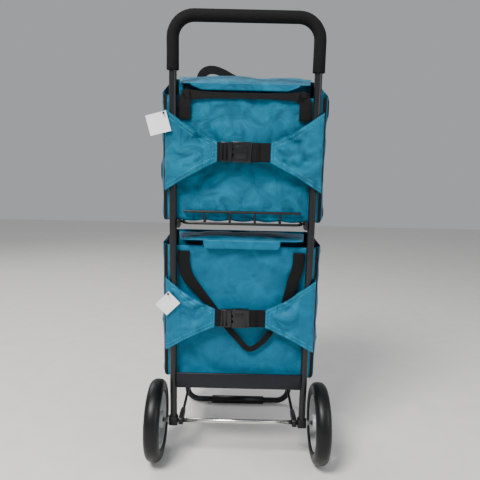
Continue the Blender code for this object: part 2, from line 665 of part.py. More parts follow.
def build_buckle(bag, mouth, up):
    """A side-release buckle: the prong half is sewn on, the socket slides off."""
    axis = pivot(f"{bag}_buckle_axis", BUCKLE_FORWARD, up, mouth)
    half_up, half_thick = BUCKLE_HEIGHT / 2, BUCKLE_THICKNESS / 2
    socket = add_piece(f"{bag}_buckle_socket",
                       box((mouth, BUCKLE_FORWARD - half_thick, up - half_up),
                           (mouth + BUCKLE_LENGTH, BUCKLE_FORWARD + half_thick, up + half_up),
                           0.0012), PLASTIC, axis)
    room = half_up - BUCKLE_WALL
    tool(socket, box((mouth - 0.01, BUCKLE_FORWARD - half_thick + BUCKLE_WALL, up - room),
                     (mouth + PRONG + 0.003, BUCKLE_FORWARD + half_thick - BUCKLE_WALL,
                      up + room)), "DIFFERENCE")
    thick = half_thick - BUCKLE_WALL - 0.0008
    base = add_piece(f"{bag}_buckle_prongs",
                     box((mouth - BUCKLE_BASE, BUCKLE_FORWARD - half_thick + 0.001,
                          up - half_up + 0.001),
                         (mouth - TOUCH, BUCKLE_FORWARD + half_thick - 0.001,
                          up + half_up - 0.001), 0.001), PLASTIC)
    for offset in (-0.0135, 0.0, 0.0135):
        tool(base, box((mouth - 0.004, BUCKLE_FORWARD - thick, up + offset - 0.003),
                       (mouth + PRONG, BUCKLE_FORWARD + thick, up + offset + 0.003)), "UNION")
    hidden = WING_INNER + WEBBING_SEWN
    runs = {"left": (-hidden, mouth - BUCKLE_BASE - TOUCH),
            "right": (mouth + BUCKLE_LENGTH + TOUCH, hidden)}
    behind = WING_FORWARD + WING_THICKNESS / 2 + TOUCH
    for word, (start, end) in runs.items():
        add_piece(f"{bag}_webbing_{word}",
                  box((start, behind, up - WEBBING / 2),
                      (end, behind + WEBBING_THICKNESS, up + WEBBING / 2)), BLACK_WEBBING)


def build_handle(name, stations, middle_width, parent=FRAME):
    """A loop of webbing, as wide as it is woven at its sewn ends."""
    def width_at(share):
        ends = min(1.0, 2.5 * abs(2 * share - 1) ** 3)
        return middle_width + (HANDLE_WEBBING - middle_width) * ends

    strap = add_piece(name, ribbon(stations, width_at), BLACK_WEBBING, parent)
    return thicken(strap, HANDLE_THICKNESS, 0.0)


def build_tag(bag, hole, middle, tilt):
    """A blank card that swings on a plastic pin, both drawn from its hole."""
    across, up = hole
    axis = pivot(f"{bag}_tag_axis", TAG_FORWARD, up, across)
    width, height, thickness = TAG
    turn = Matrix.Rotation(tilt, 3, "Y")
    centre = Vector((middle[0], TAG_FORWARD, middle[1]))
    outline = [centre + turn @ Vector((width / 2 * a, -thickness / 2, height / 2 * b))
               for a, b in [(-1, -1), (1, -1), (1, 1), (-1, 1)]]
    card = add_piece(f"{bag}_tag", slab(outline, (0.0, thickness, 0.0)), PAPER, axis)
    front = TAG_FORWARD - 0.004
    tool(card, rod((across, front, up), (across, TAG_FORWARD + 0.004, up), TAG_HOLE),
         "DIFFERENCE")
    on_wing = WING_FORWARD - WING_THICKNESS / 2 - TAG_PIN / 2 - TOUCH
    path = bent_path([(across + 0.010, on_wing, up), (across, on_wing, up),
                      (across, front, up)], TAG_PIN, 3)
    pin = add_piece(f"{bag}_tag_pin", swept(path, TAG_PIN, 8), PLASTIC)
    tool(pin, rod((across, front - 0.001, up), (across, front + 0.0006, up), 0.005, 10),
         "UNION")


def build_upper_soft_goods():
    """The upper bag with its lid, wings, buckle, handles and tag."""
    build_bag("upper_bag", UPPER_BAG)
    _, back, front = UPPER_BAG
    build_lid("upper_lid", (BAG_FRONT + 0.004, front + 0.003), (0.001, back + 0.0225), 0.097)
    build_wings("upper", UPPER_WING)
    build_buckle("upper", UPPER_BUCKLE_LEFT, (UPPER_WING[2] + UPPER_WING[3]) / 2)

    rear = pivot("upper_rear_handle_axis", 0.0055, back - 0.046)
    level = back + 0.003
    build_handle("upper_rear_handle",
                 bent_path([(-0.127, 0.0055, back - 0.048), (-0.127, 0.0055, level),
                            (0.127, 0.0055, level), (0.127, 0.0055, back - 0.048)],
                           0.018, 5), 0.012, rear)
    outside = BAG_FRONT + 0.003
    stand = BAG_FRONT + 0.014
    fore = pivot("upper_front_handle_axis", outside, front - 0.055)
    build_handle("upper_front_handle",
                 [(-0.114, outside, front - 0.055), (-0.114, outside, front - 0.035),
                  (-0.113, stand, front - 0.012), (-0.108, stand, front + 0.012),
                  (-0.096, stand, front + 0.024), (-0.078, stand, front + 0.026),
                  (-0.055, stand, front + 0.018), (-0.020, stand, front + 0.002),
                  (0.030, stand, front - 0.004), (0.075, stand, front - 0.003),
                  (0.098, stand, front - 0.006), (0.110, stand, front - 0.022),
                  (0.114, outside, front - 0.040), (0.114, outside, front - 0.055)],
                 0.014, fore)
    build_tag("upper", (-0.1665, 0.698), (-0.178, 0.677), math.radians(-15.0))


def build_lower_soft_goods():
    """The lower bag with its lid, wings, buckle, handles and tag."""
    build_bag("lower_bag", LOWER_BAG)
    _, back, front = LOWER_BAG
    build_lid("lower_lid", (BAG_FRONT + 0.004, front + 0.0035), (-0.004, back + 0.0125),
              0.084)
    build_wings("lower", LOWER_WING)
    build_buckle("lower", LOWER_BUCKLE_LEFT, (LOWER_WING[2] + LOWER_WING[3]) / 2)

    top = back - 0.012
    flat = 0.0055
    middle = (LOWER_WING[2] + LOWER_WING[3]) / 2
    build_handle("lower_rear_handle",
                 [(-0.127, flat, top), (-0.127, flat, top - 0.030), (-0.118, flat, top - 0.060),
                  (-0.091, flat, top - 0.094), (-0.060, flat - 0.004, middle + 0.018),
                  (-0.033, flat - 0.005, middle - 0.020), (-0.005, flat - 0.005, middle - 0.052),
                  (0.022, flat - 0.005, middle - 0.077), (0.050, flat - 0.005, middle - 0.060),
                  (0.074, flat - 0.004, middle - 0.028), (0.094, flat, middle + 0.010),
                  (0.108, flat, top - 0.094), (0.118, flat, top - 0.060),
                  (0.126, flat, top - 0.030), (0.127, flat, top)], 0.013)
    outside = BAG_FRONT + 0.003
    stand = BAG_FRONT + 0.012
    fore = pivot("lower_front_handle_axis", outside, back - 0.090)
    hang = back - 0.090
    build_handle("lower_front_handle",
                 bent_path([(-0.114, outside, hang + 0.004), (-0.114, stand, hang - 0.030),
                            (-0.060, stand, hang - 0.110), (0.060, stand, hang - 0.110),
                            (0.114, stand, hang - 0.030), (0.114, outside, hang + 0.004)],
                           0.016, 3), 0.014, fore)
    build_tag("lower", (-0.1586, 0.3125), (-0.1575, 0.287), math.radians(45.0))


# ------------------------------------------------------------------ assembly
build_frame()
for SIDE, WORD in mirror_sides():
    build_wheel(SIDE, WORD)
    build_strut(SIDE, WORD)
TRAY_AXIS = pivot("tray_axis", *TRAY_PIVOT)
build_platform(TRAY_AXIS)
build_foot(pivot("foot_axis", *FRONT_PIVOT, parent=TRAY_AXIS))
build_shelf()
build_upper_soft_goods()
build_lower_soft_goods()
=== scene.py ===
# %% [markdown]
# # A shopping trolley on wheels
# This lesson dresses a finished mechanical model. Every tube, pin and wheel is
# already in its place, so the work here is the surface: soft sewn bags, ribbed
# webbing, foam, rubber, paint and steel, all made with Blender's own tools.

# %% Load the fixed frame
import json
import math

import bpy
import numpy as np
from mathutils import Matrix, Vector, noise


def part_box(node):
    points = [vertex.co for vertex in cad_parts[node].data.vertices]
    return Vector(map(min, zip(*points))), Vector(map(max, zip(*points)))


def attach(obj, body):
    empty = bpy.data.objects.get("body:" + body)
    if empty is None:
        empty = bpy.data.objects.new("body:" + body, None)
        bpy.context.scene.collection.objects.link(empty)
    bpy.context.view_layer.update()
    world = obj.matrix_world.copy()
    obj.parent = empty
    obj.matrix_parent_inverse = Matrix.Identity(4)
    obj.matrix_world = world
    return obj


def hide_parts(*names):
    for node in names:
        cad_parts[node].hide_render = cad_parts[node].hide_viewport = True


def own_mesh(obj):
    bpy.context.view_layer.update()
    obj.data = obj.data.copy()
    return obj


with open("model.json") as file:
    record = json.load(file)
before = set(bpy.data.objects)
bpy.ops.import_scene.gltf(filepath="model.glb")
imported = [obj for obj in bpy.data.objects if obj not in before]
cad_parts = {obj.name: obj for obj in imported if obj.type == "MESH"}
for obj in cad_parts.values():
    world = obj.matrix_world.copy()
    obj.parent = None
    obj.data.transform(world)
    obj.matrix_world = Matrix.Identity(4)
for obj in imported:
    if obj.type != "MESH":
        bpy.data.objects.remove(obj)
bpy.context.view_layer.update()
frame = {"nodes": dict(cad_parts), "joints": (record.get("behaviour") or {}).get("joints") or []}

# %% [markdown]
# The uprights lean back a little. It is far easier to model square to the
# uprights and to tip each finished piece into place, so one matrix holds the
# lean. Its angle is read from the axis of a joint that points straight out of
# the uprights, and its origin is the middle of the axle.

# %% The leaning frame
square_out = next(j for j in frame["joints"] if j["name"] == "upper_tag_swing")["axis"]
LEAN = math.atan2(square_out[2], square_out[1])
axle_low, axle_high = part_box("axle")
AXLE = (axle_low + axle_high) / 2
TO_ROW = Matrix.Translation((0.0, AXLE.y, AXLE.z)) @ Matrix.Rotation(LEAN, 4, "X")


def span(node):
    """The two corners of a CAD node, measured square to the uprights."""
    back = np.array(TO_ROW.inverted())
    spots = np.array([v.co for v in frame["nodes"][node].data.vertices])
    spots = spots @ back[:3, :3].T + back[:3, 3]
    return Vector(spots.min(0)), Vector(spots.max(0))


print("lean, degrees:", round(math.degrees(LEAN), 2), "axle at", [round(x, 4) for x in AXLE])

# %% [markdown]
# The camera comes first, because every later choice of detail depends on how
# large a piece is in the picture. It stands behind the trolley, a little above
# half its height, looks slightly down, and is turned a touch about its own axis.

# %% Camera
LENS = 37.5
CAMERA_BACK = 1.113
CAMERA_UP = 0.658
CAMERA_ACROSS = -0.004
LOOK_DOWN = math.radians(7.0)
CAMERA_ROLL = math.radians(-1.3)

bpy.ops.object.select_all(action="DESELECT")
bpy.ops.object.camera_add(location=(CAMERA_ACROSS, AXLE.y - CAMERA_BACK, CAMERA_UP))
camera = bpy.context.object
camera.data.lens = LENS
look = Vector((0.0, math.cos(LOOK_DOWN), -math.sin(LOOK_DOWN)))
camera.rotation_mode = "QUATERNION"
camera.rotation_quaternion = (Matrix.Rotation(CAMERA_ROLL, 3, look).to_quaternion()
                              @ look.to_track_quat("-Z", "Y"))
camera.data.clip_start = 0.05
bpy.context.scene.camera = camera
print("camera", [round(x, 3) for x in camera.location])

# %% [markdown]
# A plain pale floor and three large soft lamps show form without hard shadows.
# The floor carries a little mottling so that the contact shadows have something
# to sit on.

# %% Floor, lights and sky
bpy.ops.mesh.primitive_plane_add(size=12.0, location=(0.0, 0.0, 0.0))
floor = bpy.context.object
floor.name = "floor"


def soft_lamp(name, place, target, size, power, colour):
    """A square area lamp that faces a target point."""
    bpy.ops.object.light_add(type="AREA", location=place)
    lamp = bpy.context.object
    lamp.name = name
    lamp.data.size = size
    lamp.data.energy = power
    lamp.data.color = colour
    lamp.rotation_mode = "QUATERNION"
    lamp.rotation_quaternion = (Vector(target) - Vector(place)).to_track_quat("-Z", "Y")


MIDDLE = (0.0, 0.0, 0.5)
soft_lamp("key_lamp", (-0.9, -1.6, 2.5), MIDDLE, 0.9, 112.0, (1.0, 0.98, 0.95))
soft_lamp("fill_lamp", (2.1, -1.3, 1.3), MIDDLE, 1.6, 22.0, (0.93, 0.96, 1.0))
soft_lamp("back_lamp", (-1.8, 1.9, 2.3), MIDDLE, 1.4, 30.0, (1.0, 1.0, 1.0))
sky = bpy.data.worlds.new("sky")
bpy.context.scene.world = sky
sky.use_nodes = True
sky.node_tree.nodes["Background"].inputs["Color"].default_value = (0.86, 0.88, 0.90, 1.0)
sky.node_tree.nodes["Background"].inputs["Strength"].default_value = 0.45
print("three lamps and a sky")

# %% [markdown]
# Materials are node trees. Small helpers keep them readable: one turns an sRGB
# hex colour into the linear values a shader needs, one adds a node,
# sets it and links it in a single call, and one adds a sum or a product.

# %% Material helpers


def linear(code):
    """An sRGB hex colour as linear red, green, blue and alpha."""
    parts = [int(code[i:i + 2], 16) / 255 for i in (1, 3, 5)]
    return tuple(c / 12.92 if c <= 0.04045 else ((c + 0.055) / 1.055) ** 2.4
                 for c in parts) + (1.0,)


def add_node(tree, kind, values=None, **properties):
    """Add a shader node; values fill its inputs or link sockets to them."""
    made = tree.nodes.new("ShaderNode" + kind)
    for name, value in properties.items():
        setattr(made, name, value)
    for name, value in (values or {}).items():
        if isinstance(value, bpy.types.NodeSocket):
            tree.links.new(value, made.inputs[name])
        else:
            made.inputs[name].default_value = value
    return made


def calculate(tree, operation, *values):
    """Add a math node and give its result."""
    return add_node(tree, "Math", dict(enumerate(values)), operation=operation).outputs[0]


def new_material(name, colour, roughness, shine=0.5, metallic=0.0):
    """A Principled material with its uniform values on the shader itself."""
    made = bpy.data.materials.new(name)
    made.use_nodes = True
    shader = made.node_tree.nodes["Principled BSDF"]
    shader.inputs["Base Color"].default_value = linear(colour)
    shader.inputs["Roughness"].default_value = roughness
    shader.inputs["Specular IOR Level"].default_value = shine
    shader.inputs["Metallic"].default_value = metallic
    where = add_node(made.node_tree, "TexCoord").outputs
    return made, made.node_tree, shader, where


def two_tone(tree, shader, factor, dark, light):
    """Colour the surface between two tones by a 0 to 1 pattern."""
    mix = add_node(tree, "Mix", {0: factor, 6: linear(dark), 7: linear(light)},
                   data_type="RGBA")
    tree.links.new(mix.outputs[2], shader.inputs["Base Color"])


def bump(tree, shader, height, millimetres):
    """Raise the surface by a 0 to 1 pattern, so many millimetres high."""
    made = add_node(tree, "Bump", {"Height": height, "Strength": 1.0,
                                   "Distance": millimetres / 1000})
    tree.links.new(made.outputs["Normal"], shader.inputs["Normal"])


print("material helpers ready")

# %% [markdown]
# ** Coated polyester** is the bag cloth: a plain weave of filament yarn with a
# thin coating, so it has a soft sheen and a fine grid of threads. Its colour runs
# from a darker painted shade in the creases to the lit cloth on their ridges, and
# the gaps of the weave get a little painted shade too. The real threads are about
# 0.5 mm apart, too fine to show, so the grid is drawn at 1.3 mm.

# %% Coated polyester
THREAD = 0.0013
BANDS_PER_METRE = math.tau / 20         # a wave texture of scale 1 has this period, in metres


def bands(tree, where, period, direction="X", **values):
    """Stripes across the UV map, so many metres apart."""
    return add_node(tree, "TexWave", {"Vector": where["UV"], "Scale": BANDS_PER_METRE / period,
                                      **values}, bands_direction=direction).outputs["Fac"]


def coated_polyester(name, shaded_tone, clear, crease):
    """Woven bag cloth; crease sets how strongly it is crumpled, in mm. Its colour runs from
    painted shade in the creases to the lit tone.
    """
    made, tree, shader, where = new_material(name, clear, 0.46, shine=0.22)
    shader.inputs["Sheen Weight"].default_value = 0.04
    shader.inputs["Sheen Roughness"].default_value = 0.4
    # Painted shade: the gaps between the threads of the weave are coloured a little darker.
    weave = calculate(tree, "MULTIPLY", bands(tree, where, THREAD),
                      bands(tree, where, THREAD, "Y"))
    folds = add_node(tree, "TexNoise", {"Vector": where["Object"], "Scale": 24.0,
                                        "Detail": 5.0, "Roughness": 0.55,
                                        "Distortion": 1.1}).outputs["Fac"]
    # Painted shade: the fold noise also sets the bump, so the cloth is painted darker in the
    # hollows of the folds and lighter on their ridges.
    crease_shade = calculate(tree, "MULTIPLY_ADD", folds, 1.9, -0.42)
    two_tone(tree, shader, calculate(tree, "MULTIPLY_ADD", weave, 0.16, crease_shade), shaded_tone, clear)
    bump(tree, shader, calculate(tree, "MULTIPLY_ADD", weave, 0.10, folds), crease)
    return made


# The darker tone of each cloth is painted shade and the lighter one the lit cloth; the upper
# cloth spans the wider range, so its creases are painted deeper.
UPPER_CLOTH = coated_polyester("coated_polyester_creased", "#00425d", "#007c9e", 6.5)
LOWER_CLOTH = coated_polyester("coated_polyester_smooth", "#00526f", "#006f92", 2.0)
print("two bag cloths")

# %% [markdown]
# ** Webbing and binding tape** are woven flat. The webbing shows ribs across its
# length every couple of millimetres and a plainer selvedge, and it is dull
# polypropylene; the crests of its ribs carry a painted highlight. The binding is
# the same black, but finer.

# %% Webbing and tape
RIB = 0.0022


def woven_strap(name, dark, light, rib, height):
    """Ribs across the strap: its UV map runs along it in metres."""
    made, tree, shader, where = new_material(name, light, 0.78, shine=0.25)
    body = calculate(tree, "MULTIPLY", bands(tree, where, rib, Distortion=0.6, Detail=1.0),
                     bands(tree, where, rib * 0.7, "Y"))
    # Painted highlight: the raised crests of the ribs get the lighter tone.
    two_tone(tree, shader, body, dark, light)
    bump(tree, shader, body, height)
    return made


# The lighter tone of each strap is a painted highlight on its rib crests.
WEBBING = woven_strap("polypropylene_webbing", "#050506", "#121316", RIB, 0.35)
TAPE = woven_strap("binding_tape", "#050506", "#101114", 0.0012, 0.15)
print("webbing and tape")

# %% [markdown]
# **Powder-coated tube.** Powder melts into a skin with a faint orange peel, so
# the finish is satin with soft highlights. **Drawn steel** is the bare axle and
# the pins: fine scratches run round it from the die.

# %% Paint and steel


def grainy(name, dark, light, roughness, grain_mm, height_mm, shine=0.5):
    """A material whose tone and height follow one noise of a given grain."""
    made, tree, shader, where = new_material(name, light, roughness, shine)
    grain = add_node(tree, "TexNoise", {"Vector": where["Object"], "Detail": 3.0,
                                        "Scale": 1000.0 / grain_mm}).outputs["Fac"]
    slow = add_node(tree, "TexNoise", {"Vector": where["Object"], "Scale": 14.0})
    two_tone(tree, shader, calculate(tree, "MULTIPLY_ADD", grain, 0.35, slow.outputs["Fac"]),
             dark, light)
    bump(tree, shader, grain, height_mm)
    return made


POWDER_COAT = grainy("anthracite_powder_coat", "#0e0e10", "#1d1d20", 0.32, 1.6, 0.06, 0.35)
BAR_COAT = grainy("black_powder_coat", "#090b10", "#141720", 0.42, 1.6, 0.05, 0.3)


def drawn_steel(name, light, roughness):
    """Bare metal with fine rings left by the drawing die."""
    made, tree, shader, where = new_material(name, light, roughness, metallic=1.0)
    stretch = add_node(tree, "Mapping", {"Vector": where["Object"],
                                         "Scale": (2400.0, 60.0, 60.0)})
    rings = add_node(tree, "TexNoise", {"Vector": stretch.outputs["Vector"], "Scale": 1.0})
    bump(tree, shader, rings.outputs["Fac"], 0.03)
    return made


STEEL = drawn_steel("drawn_steel", "#d5d4d0", 0.24)
ZINC = drawn_steel("zinc_plated_steel", "#b9bbbd", 0.38)
print("paint and steel")

# %% [markdown]
# ** Foam, rubber and plastics.** The grip is closed-cell foam, so it is full of
# tiny pores, each painted darker in its hollow as painted shade, and has almost no
# shine. The tyres are smooth moulded rubber that has picked up a little dust. The
# rims are pale moulded plastic, and the buckles a harder, glossier one.

# %% Foam, rubber, plastics, card and board


def porous_foam(name, dark, light):
    """Closed-cell foam: small round pores over a dull black, with painted shade in each pore."""
    made, tree, shader, where = new_material(name, light, 0.86, shine=0.2)
    pores = add_node(tree, "TexVoronoi", {"Vector": where["Object"],
                                          "Scale": 620.0}).outputs["Distance"]
    # Painted shade: each pore's hollow, which the bump sinks, gets the darker tone.
    two_tone(tree, shader, pores, dark, light)
    bump(tree, shader, pores, 0.35)
    return made


FOAM = porous_foam("closed_cell_foam", "#050505", "#111112")
RUBBER = grainy("smooth_rubber", "#050607", "#0f1012", 0.40, 3.0, 0.04, 0.3)
RIM_PLASTIC = grainy("moulded_grey_plastic", "#7f8386", "#a6aaac", 0.42, 1.2, 0.05)
BLACK_PLASTIC = grainy("moulded_black_plastic", "#08090a", "#121316", 0.42, 0.9, 0.05, 0.3)
BUCKLE_PLASTIC = grainy("acetal_buckle_plastic", "#0b0c0e", "#18191c", 0.30, 1.4, 0.03, 0.4)
CARD = grainy("coated_card", "#dfe2e6", "#f6f7f8", 0.5, 0.8, 0.02)
FIBRE_BOARD = grainy("fibre_board", "#2d2925", "#4a433b", 0.7, 1.5, 0.15)
FLOOR_PAINT = grainy("pale_floor", "#d9d8d4", "#e6e5e1", 0.6, 6.0, 0.05)
floor.data.materials.append(FLOOR_PAINT)
print("foam, rubber, plastics, card and board")

# %% [markdown]
# The modelling helpers below only save typing. Operators act on whatever is
# selected, so every helper starts by deselecting. A finished piece is tipped
# into the leaning frame, its place is written into its mesh, it is told which
# moving body it rides on, and the plain solid it stands for is hidden.

# %% Modelling helpers


def deselect():
    """Leave nothing selected and no object in edit mode."""
    if bpy.context.object and bpy.context.object.mode != "OBJECT":
        object_mode()
    bpy.ops.object.select_all(action="DESELECT")


def only(piece):
    """Make one object the selected and active one."""
    deselect()
    piece.select_set(True)
    bpy.context.view_layer.objects.active = piece


def primitive(kind, name, **settings):
    """Add a mesh primitive and name it."""
    deselect()
    getattr(bpy.ops.mesh, f"primitive_{kind}_add")(**settings)
    bpy.context.object.name = name
    return bpy.context.object


def block(name, low, high):
    """A cube primitive stretched between two corners."""
    low, high = Vector(low), Vector(high)
    made = primitive("cube", name, size=1.0, location=(low + high) / 2)
    made.scale = high - low
    bpy.ops.object.transform_apply(location=True, rotation=True, scale=True)
    return made


def edit(piece, kind, test):
    """Enter edit mode with only the EDGE or FACE items that pass the test."""
    only(piece)
    mesh = piece.data
    for group in (mesh.vertices, mesh.edges, mesh.polygons):
        group.foreach_set("select", [False] * len(group))
    for item in mesh.edges if kind == "EDGE" else mesh.polygons:
        item.select = test(*[mesh.vertices[i].co for i in item.vertices]) \
            if kind == "EDGE" else test(item.center, item.normal)
    bpy.context.tool_settings.mesh_select_mode = [kind == k for k in ("VERT", "EDGE", "FACE")]
    bpy.ops.object.mode_set(mode="EDIT")


def modify(piece, kind, **settings):
    """Add a modifier, set it and apply it."""
    deselect()
    only(piece)
    step = piece.modifiers.new(kind.title(), kind)
    for name, value in settings.items():
        setattr(step, name, value)
    bpy.ops.object.modifier_apply(modifier=step.name)


def round_edges(piece, width, segments=2, degrees=40.0):
    """Bevel the edges that are sharper than an angle."""
    modify(piece, "BEVEL", width=width, segments=segments, limit_method="ANGLE",
           angle_limit=math.radians(degrees))


def smooth(piece, degrees=35.0):
    """Shade smooth, but keep edges sharper than an angle."""
    only(piece)
    bpy.ops.object.shade_smooth_by_angle(angle=math.radians(degrees))


def object_mode():
    """Leave edit mode."""
    bpy.ops.object.mode_set(mode="OBJECT")


def weld_seam():
    """In edit mode, merge the points that meet."""
    bpy.ops.mesh.select_all(action="SELECT")
    bpy.ops.mesh.remove_doubles(threshold=0.00002)


def join(name, pieces):
    """Join several objects into the first one."""
    deselect()
    for piece in pieces:
        piece.select_set(True)
    bpy.context.view_layer.objects.active = pieces[0]
    bpy.ops.object.join()
    pieces[0].name = name
    return pieces[0]


def settle(piece, body, finish, *nodes, slot=None, degrees=35.0):
    """Tip a finished piece into the frame and hand it to its body."""
    smooth(piece, degrees)
    piece.data.transform(TO_ROW @ piece.matrix_world)
    piece.matrix_world = Matrix.Identity(4)
    if finish:
        piece.data.materials.clear()
        piece.data.materials.append(finish)
    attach(piece, body)
    if nodes:
        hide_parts(*nodes)
    print(f"{piece.name}: {len(piece.data.polygons)} faces on {body}")
    return piece


def dress(node, finish, edge=0.0006):
    """Give a CAD node that is already right its finish and soft edges."""
    made = frame["nodes"][node]
    made.data.materials.clear()
    made.data.materials.append(finish)
    weld = made.modifiers.new("weld", "WELD")
    weld.merge_threshold = 0.00002
    if edge:
        soft = made.modifiers.new("edges", "BEVEL")
        soft.width = edge
        soft.segments = 2
        soft.limit_method = "ANGLE"
        soft.angle_limit = math.radians(40.0)
    smooth(made, 40.0)


print("modelling helpers ready")

# %% [markdown]
# **Bent tube.** A frame tube starts as a ring of points. Extruding the ring
# gives a straight run, and spinning it about a point gives a bend, exactly as a
# tube bender works. The route is a list of straight moves and turns.

# %% Bent tubes


def run_tube(name, start, heading, diameter, moves, sides=24, cap=True):
    """Carry a ring along a route of straight moves and spun bends."""
    heading = Vector(heading).normalized()
    made = primitive("circle", name, vertices=sides, radius=diameter / 2, location=start,
                     rotation=heading.to_track_quat("Z", "X").to_euler())
    bpy.ops.object.transform_apply(location=True, rotation=True, scale=True)
    edit(made, "EDGE", lambda a, b: True)
    here = Vector(start)
    for move in moves:
        if not isinstance(move, tuple):
            bpy.ops.mesh.extrude_region_move(
                TRANSFORM_OT_translate={"value": heading * move})
            here += heading * move
        else:
            towards, radius, degrees = Vector(move[0]).normalized(), move[1], move[2]
            axis = heading.cross(towards)
            centre = here + towards * radius
            bpy.ops.mesh.spin(steps=max(2, int(degrees / 9)), angle=-math.radians(degrees),
                              center=centre, axis=axis, dupli=False)
            turn = Matrix.Rotation(math.radians(degrees), 3, axis)
            here = centre + turn @ (here - centre)
            heading = turn @ heading
    weld_seam()
    if cap:
        bpy.ops.mesh.fill_holes(sides=0)
    bpy.ops.mesh.normals_make_consistent(inside=False)
    object_mode()
    return made


TUBE_LOW, TUBE_HIGH = span("main_tube")
TUBE = 0.016
TUBE_WALL = 0.0014
BEND = 0.044
LEG = TUBE_HIGH.x - TUBE / 2
TOP_BAR = TUBE_HIGH.z - TUBE / 2


def handle_route(start_up):
    """The route up one leg, across the top and down the other."""
    upright, top_run = TOP_BAR - BEND - start_up, 2 * (LEG - BEND)
    return [upright, ((1, 0, 0), BEND, 90), top_run, ((0, 0, -1), BEND, 90), upright]


main_tube = run_tube("bent_main_tube", (-LEG, 0.0, TUBE_LOW.z), (0, 0, 1), TUBE,
                     handle_route(TUBE_LOW.z), sides=32, cap=False)
modify(main_tube, "SOLIDIFY", thickness=TUBE_WALL, offset=-1.0)
settle(main_tube, "frame", POWDER_COAT, "main_tube", slot="painted_tube")

# %% [markdown]
# ** Foam grip.** The sleeve follows the same bends. Foam squeezes as it goes
# round a corner and its cut ends are slightly swollen; here the ends are only
# rounded off, and the whole sleeve gets a faint unevenness.

# %% Foam grip
GRIP = 0.0255
GRIP_PLAY = 0.0005           # between the foam and the tube
grip_low, _ = span("handle_grip")
grip = run_tube("foam_grip", (-LEG, 0.0, grip_low.z), (0, 0, 1), GRIP,
                handle_route(grip_low.z), sides=32, cap=False)
modify(grip, "SOLIDIFY", thickness=(GRIP - TUBE) / 2 - GRIP_PLAY,
       offset=-1.0)
round_edges(grip, 0.0016, 3, 60.0)
only(grip)
bpy.ops.object.mode_set(mode="EDIT")
bpy.ops.mesh.select_all(action="SELECT")
bpy.ops.mesh.subdivide(number_cuts=1)
object_mode()
for spot in grip.data.vertices:
    spot.co += spot.normal * 0.00035 * noise.noise(spot.co * 70)
settle(grip, "frame", FOAM, "handle_grip", slot="foam", degrees=50.0)

# %% [markdown]
# **Tyres.** The profile of a tyre is one closed loop. It starts as a circle,
# is squared up a little, because a solid tyre has a flat tread, and is spun
# once about the axle.

# %% Tyres
WHEEL_STEPS = 120


def spin_about_axle(name, profile, steps=WHEEL_STEPS):
    """Spin a closed (across, radius) loop about the axle's line."""
    made = primitive("circle", name, vertices=len(profile), radius=1.0)
    for spot, (across, radius) in zip(made.data.vertices, profile):
        spot.co = (across, 0.0, radius)
    edit(made, "EDGE", lambda a, b: True)
    bpy.ops.mesh.spin(steps=steps, angle=math.tau, center=(0, 0, 0), axis=(1, 0, 0))
    weld_seam()
    bpy.ops.mesh.normals_make_consistent(inside=False)
    object_mode()
    return made


def squared(turn, power):
    """A sine or cosine pulled towards plus or minus one."""
    return math.copysign(abs(turn) ** power, turn)


for side in ("left", "right"):
    low, high = span(f"tyre_{side}")
    middle = (low.x + high.x) / 2
    half = (high.x - low.x) / 2
    outer = (high.z - low.z) / 2
    _, rim_high = span(f"rim_{side}")
    inner = rim_high.z + 0.0003
    mid_radius, half_depth = (outer + inner) / 2, (outer - inner) / 2
    loop = []
    for step in range(36):
        turn = math.tau * step / 36
        across = half * squared(math.sin(turn), 0.74)
        radius = mid_radius + half_depth * squared(math.cos(turn), 0.80)
        crown = 0.0022 * (across / half) ** 2 if math.cos(turn) > 0 else 0.0
        loop.append((middle + across, radius - crown))
    tyre = spin_about_axle(f"rubber_tyre_{side}", loop)
    settle(tyre, f"wheel_{side}", RUBBER, f"tyre_{side}", slot="tyre_rubber", degrees=60.0)

# %% [markdown]
# **Foot loop.** The same bender makes the loop that the trolley stands on. Its
# two hinge lugs are flat plates, so they are cut from blocks and joined on.

# %% Foot loop
FOOT_BEND = 0.036
LUG_THICK, LUG_HALF, LUG_LONG = 0.003, 0.007, 0.0315
loop_low, loop_high = span("foot_loop")
sleeve_low, sleeve_high = span("foot_sleeve")
bar = (sleeve_low + sleeve_high) / 2
foot_x = loop_high.x - TUBE / 2
top = Vector((-foot_x, span("foot_pin_left")[0].y + 0.003, loop_high.z - 0.0002))
down = Vector((-foot_x, bar.y, bar.z)) - top
reach = down.length - FOOT_BEND
loop = run_tube("bent_foot_loop", top, down, TUBE,
                [reach, ((1, 0, 0), FOOT_BEND, 90), 2 * (foot_x - FOOT_BEND),
                 (-down, FOOT_BEND, 90), reach], sides=28, cap=False)
modify(loop, "SOLIDIFY", thickness=TUBE_WALL, offset=-1.0)
parts = [loop]
for side, sign in (("left", -1), ("right", 1)):
    pin_low, pin_high = span(f"link_pin_{side}")
    pin = (pin_low + pin_high) / 2
    outer_face = pin_high.x if sign > 0 else pin_low.x
    ends = sorted((outer_face, outer_face - sign * LUG_THICK))
    lug = block("lug", (ends[0], pin.y - LUG_HALF, pin.z - LUG_HALF),
                (ends[1], pin.y + LUG_LONG, pin.z + LUG_HALF))
    modify(lug, "BEVEL", width=0.0008, segments=2)
    parts.append(lug)
settle(join("bent_foot_loop", parts), "foot", BAR_COAT, "foot_loop", slot="painted_tube")

# %% [markdown]
# **Wire shelf.** Shelves like this are welded from round wire: a rim, a guard
# rail behind, and bars that run forward and turn up to meet the guard.

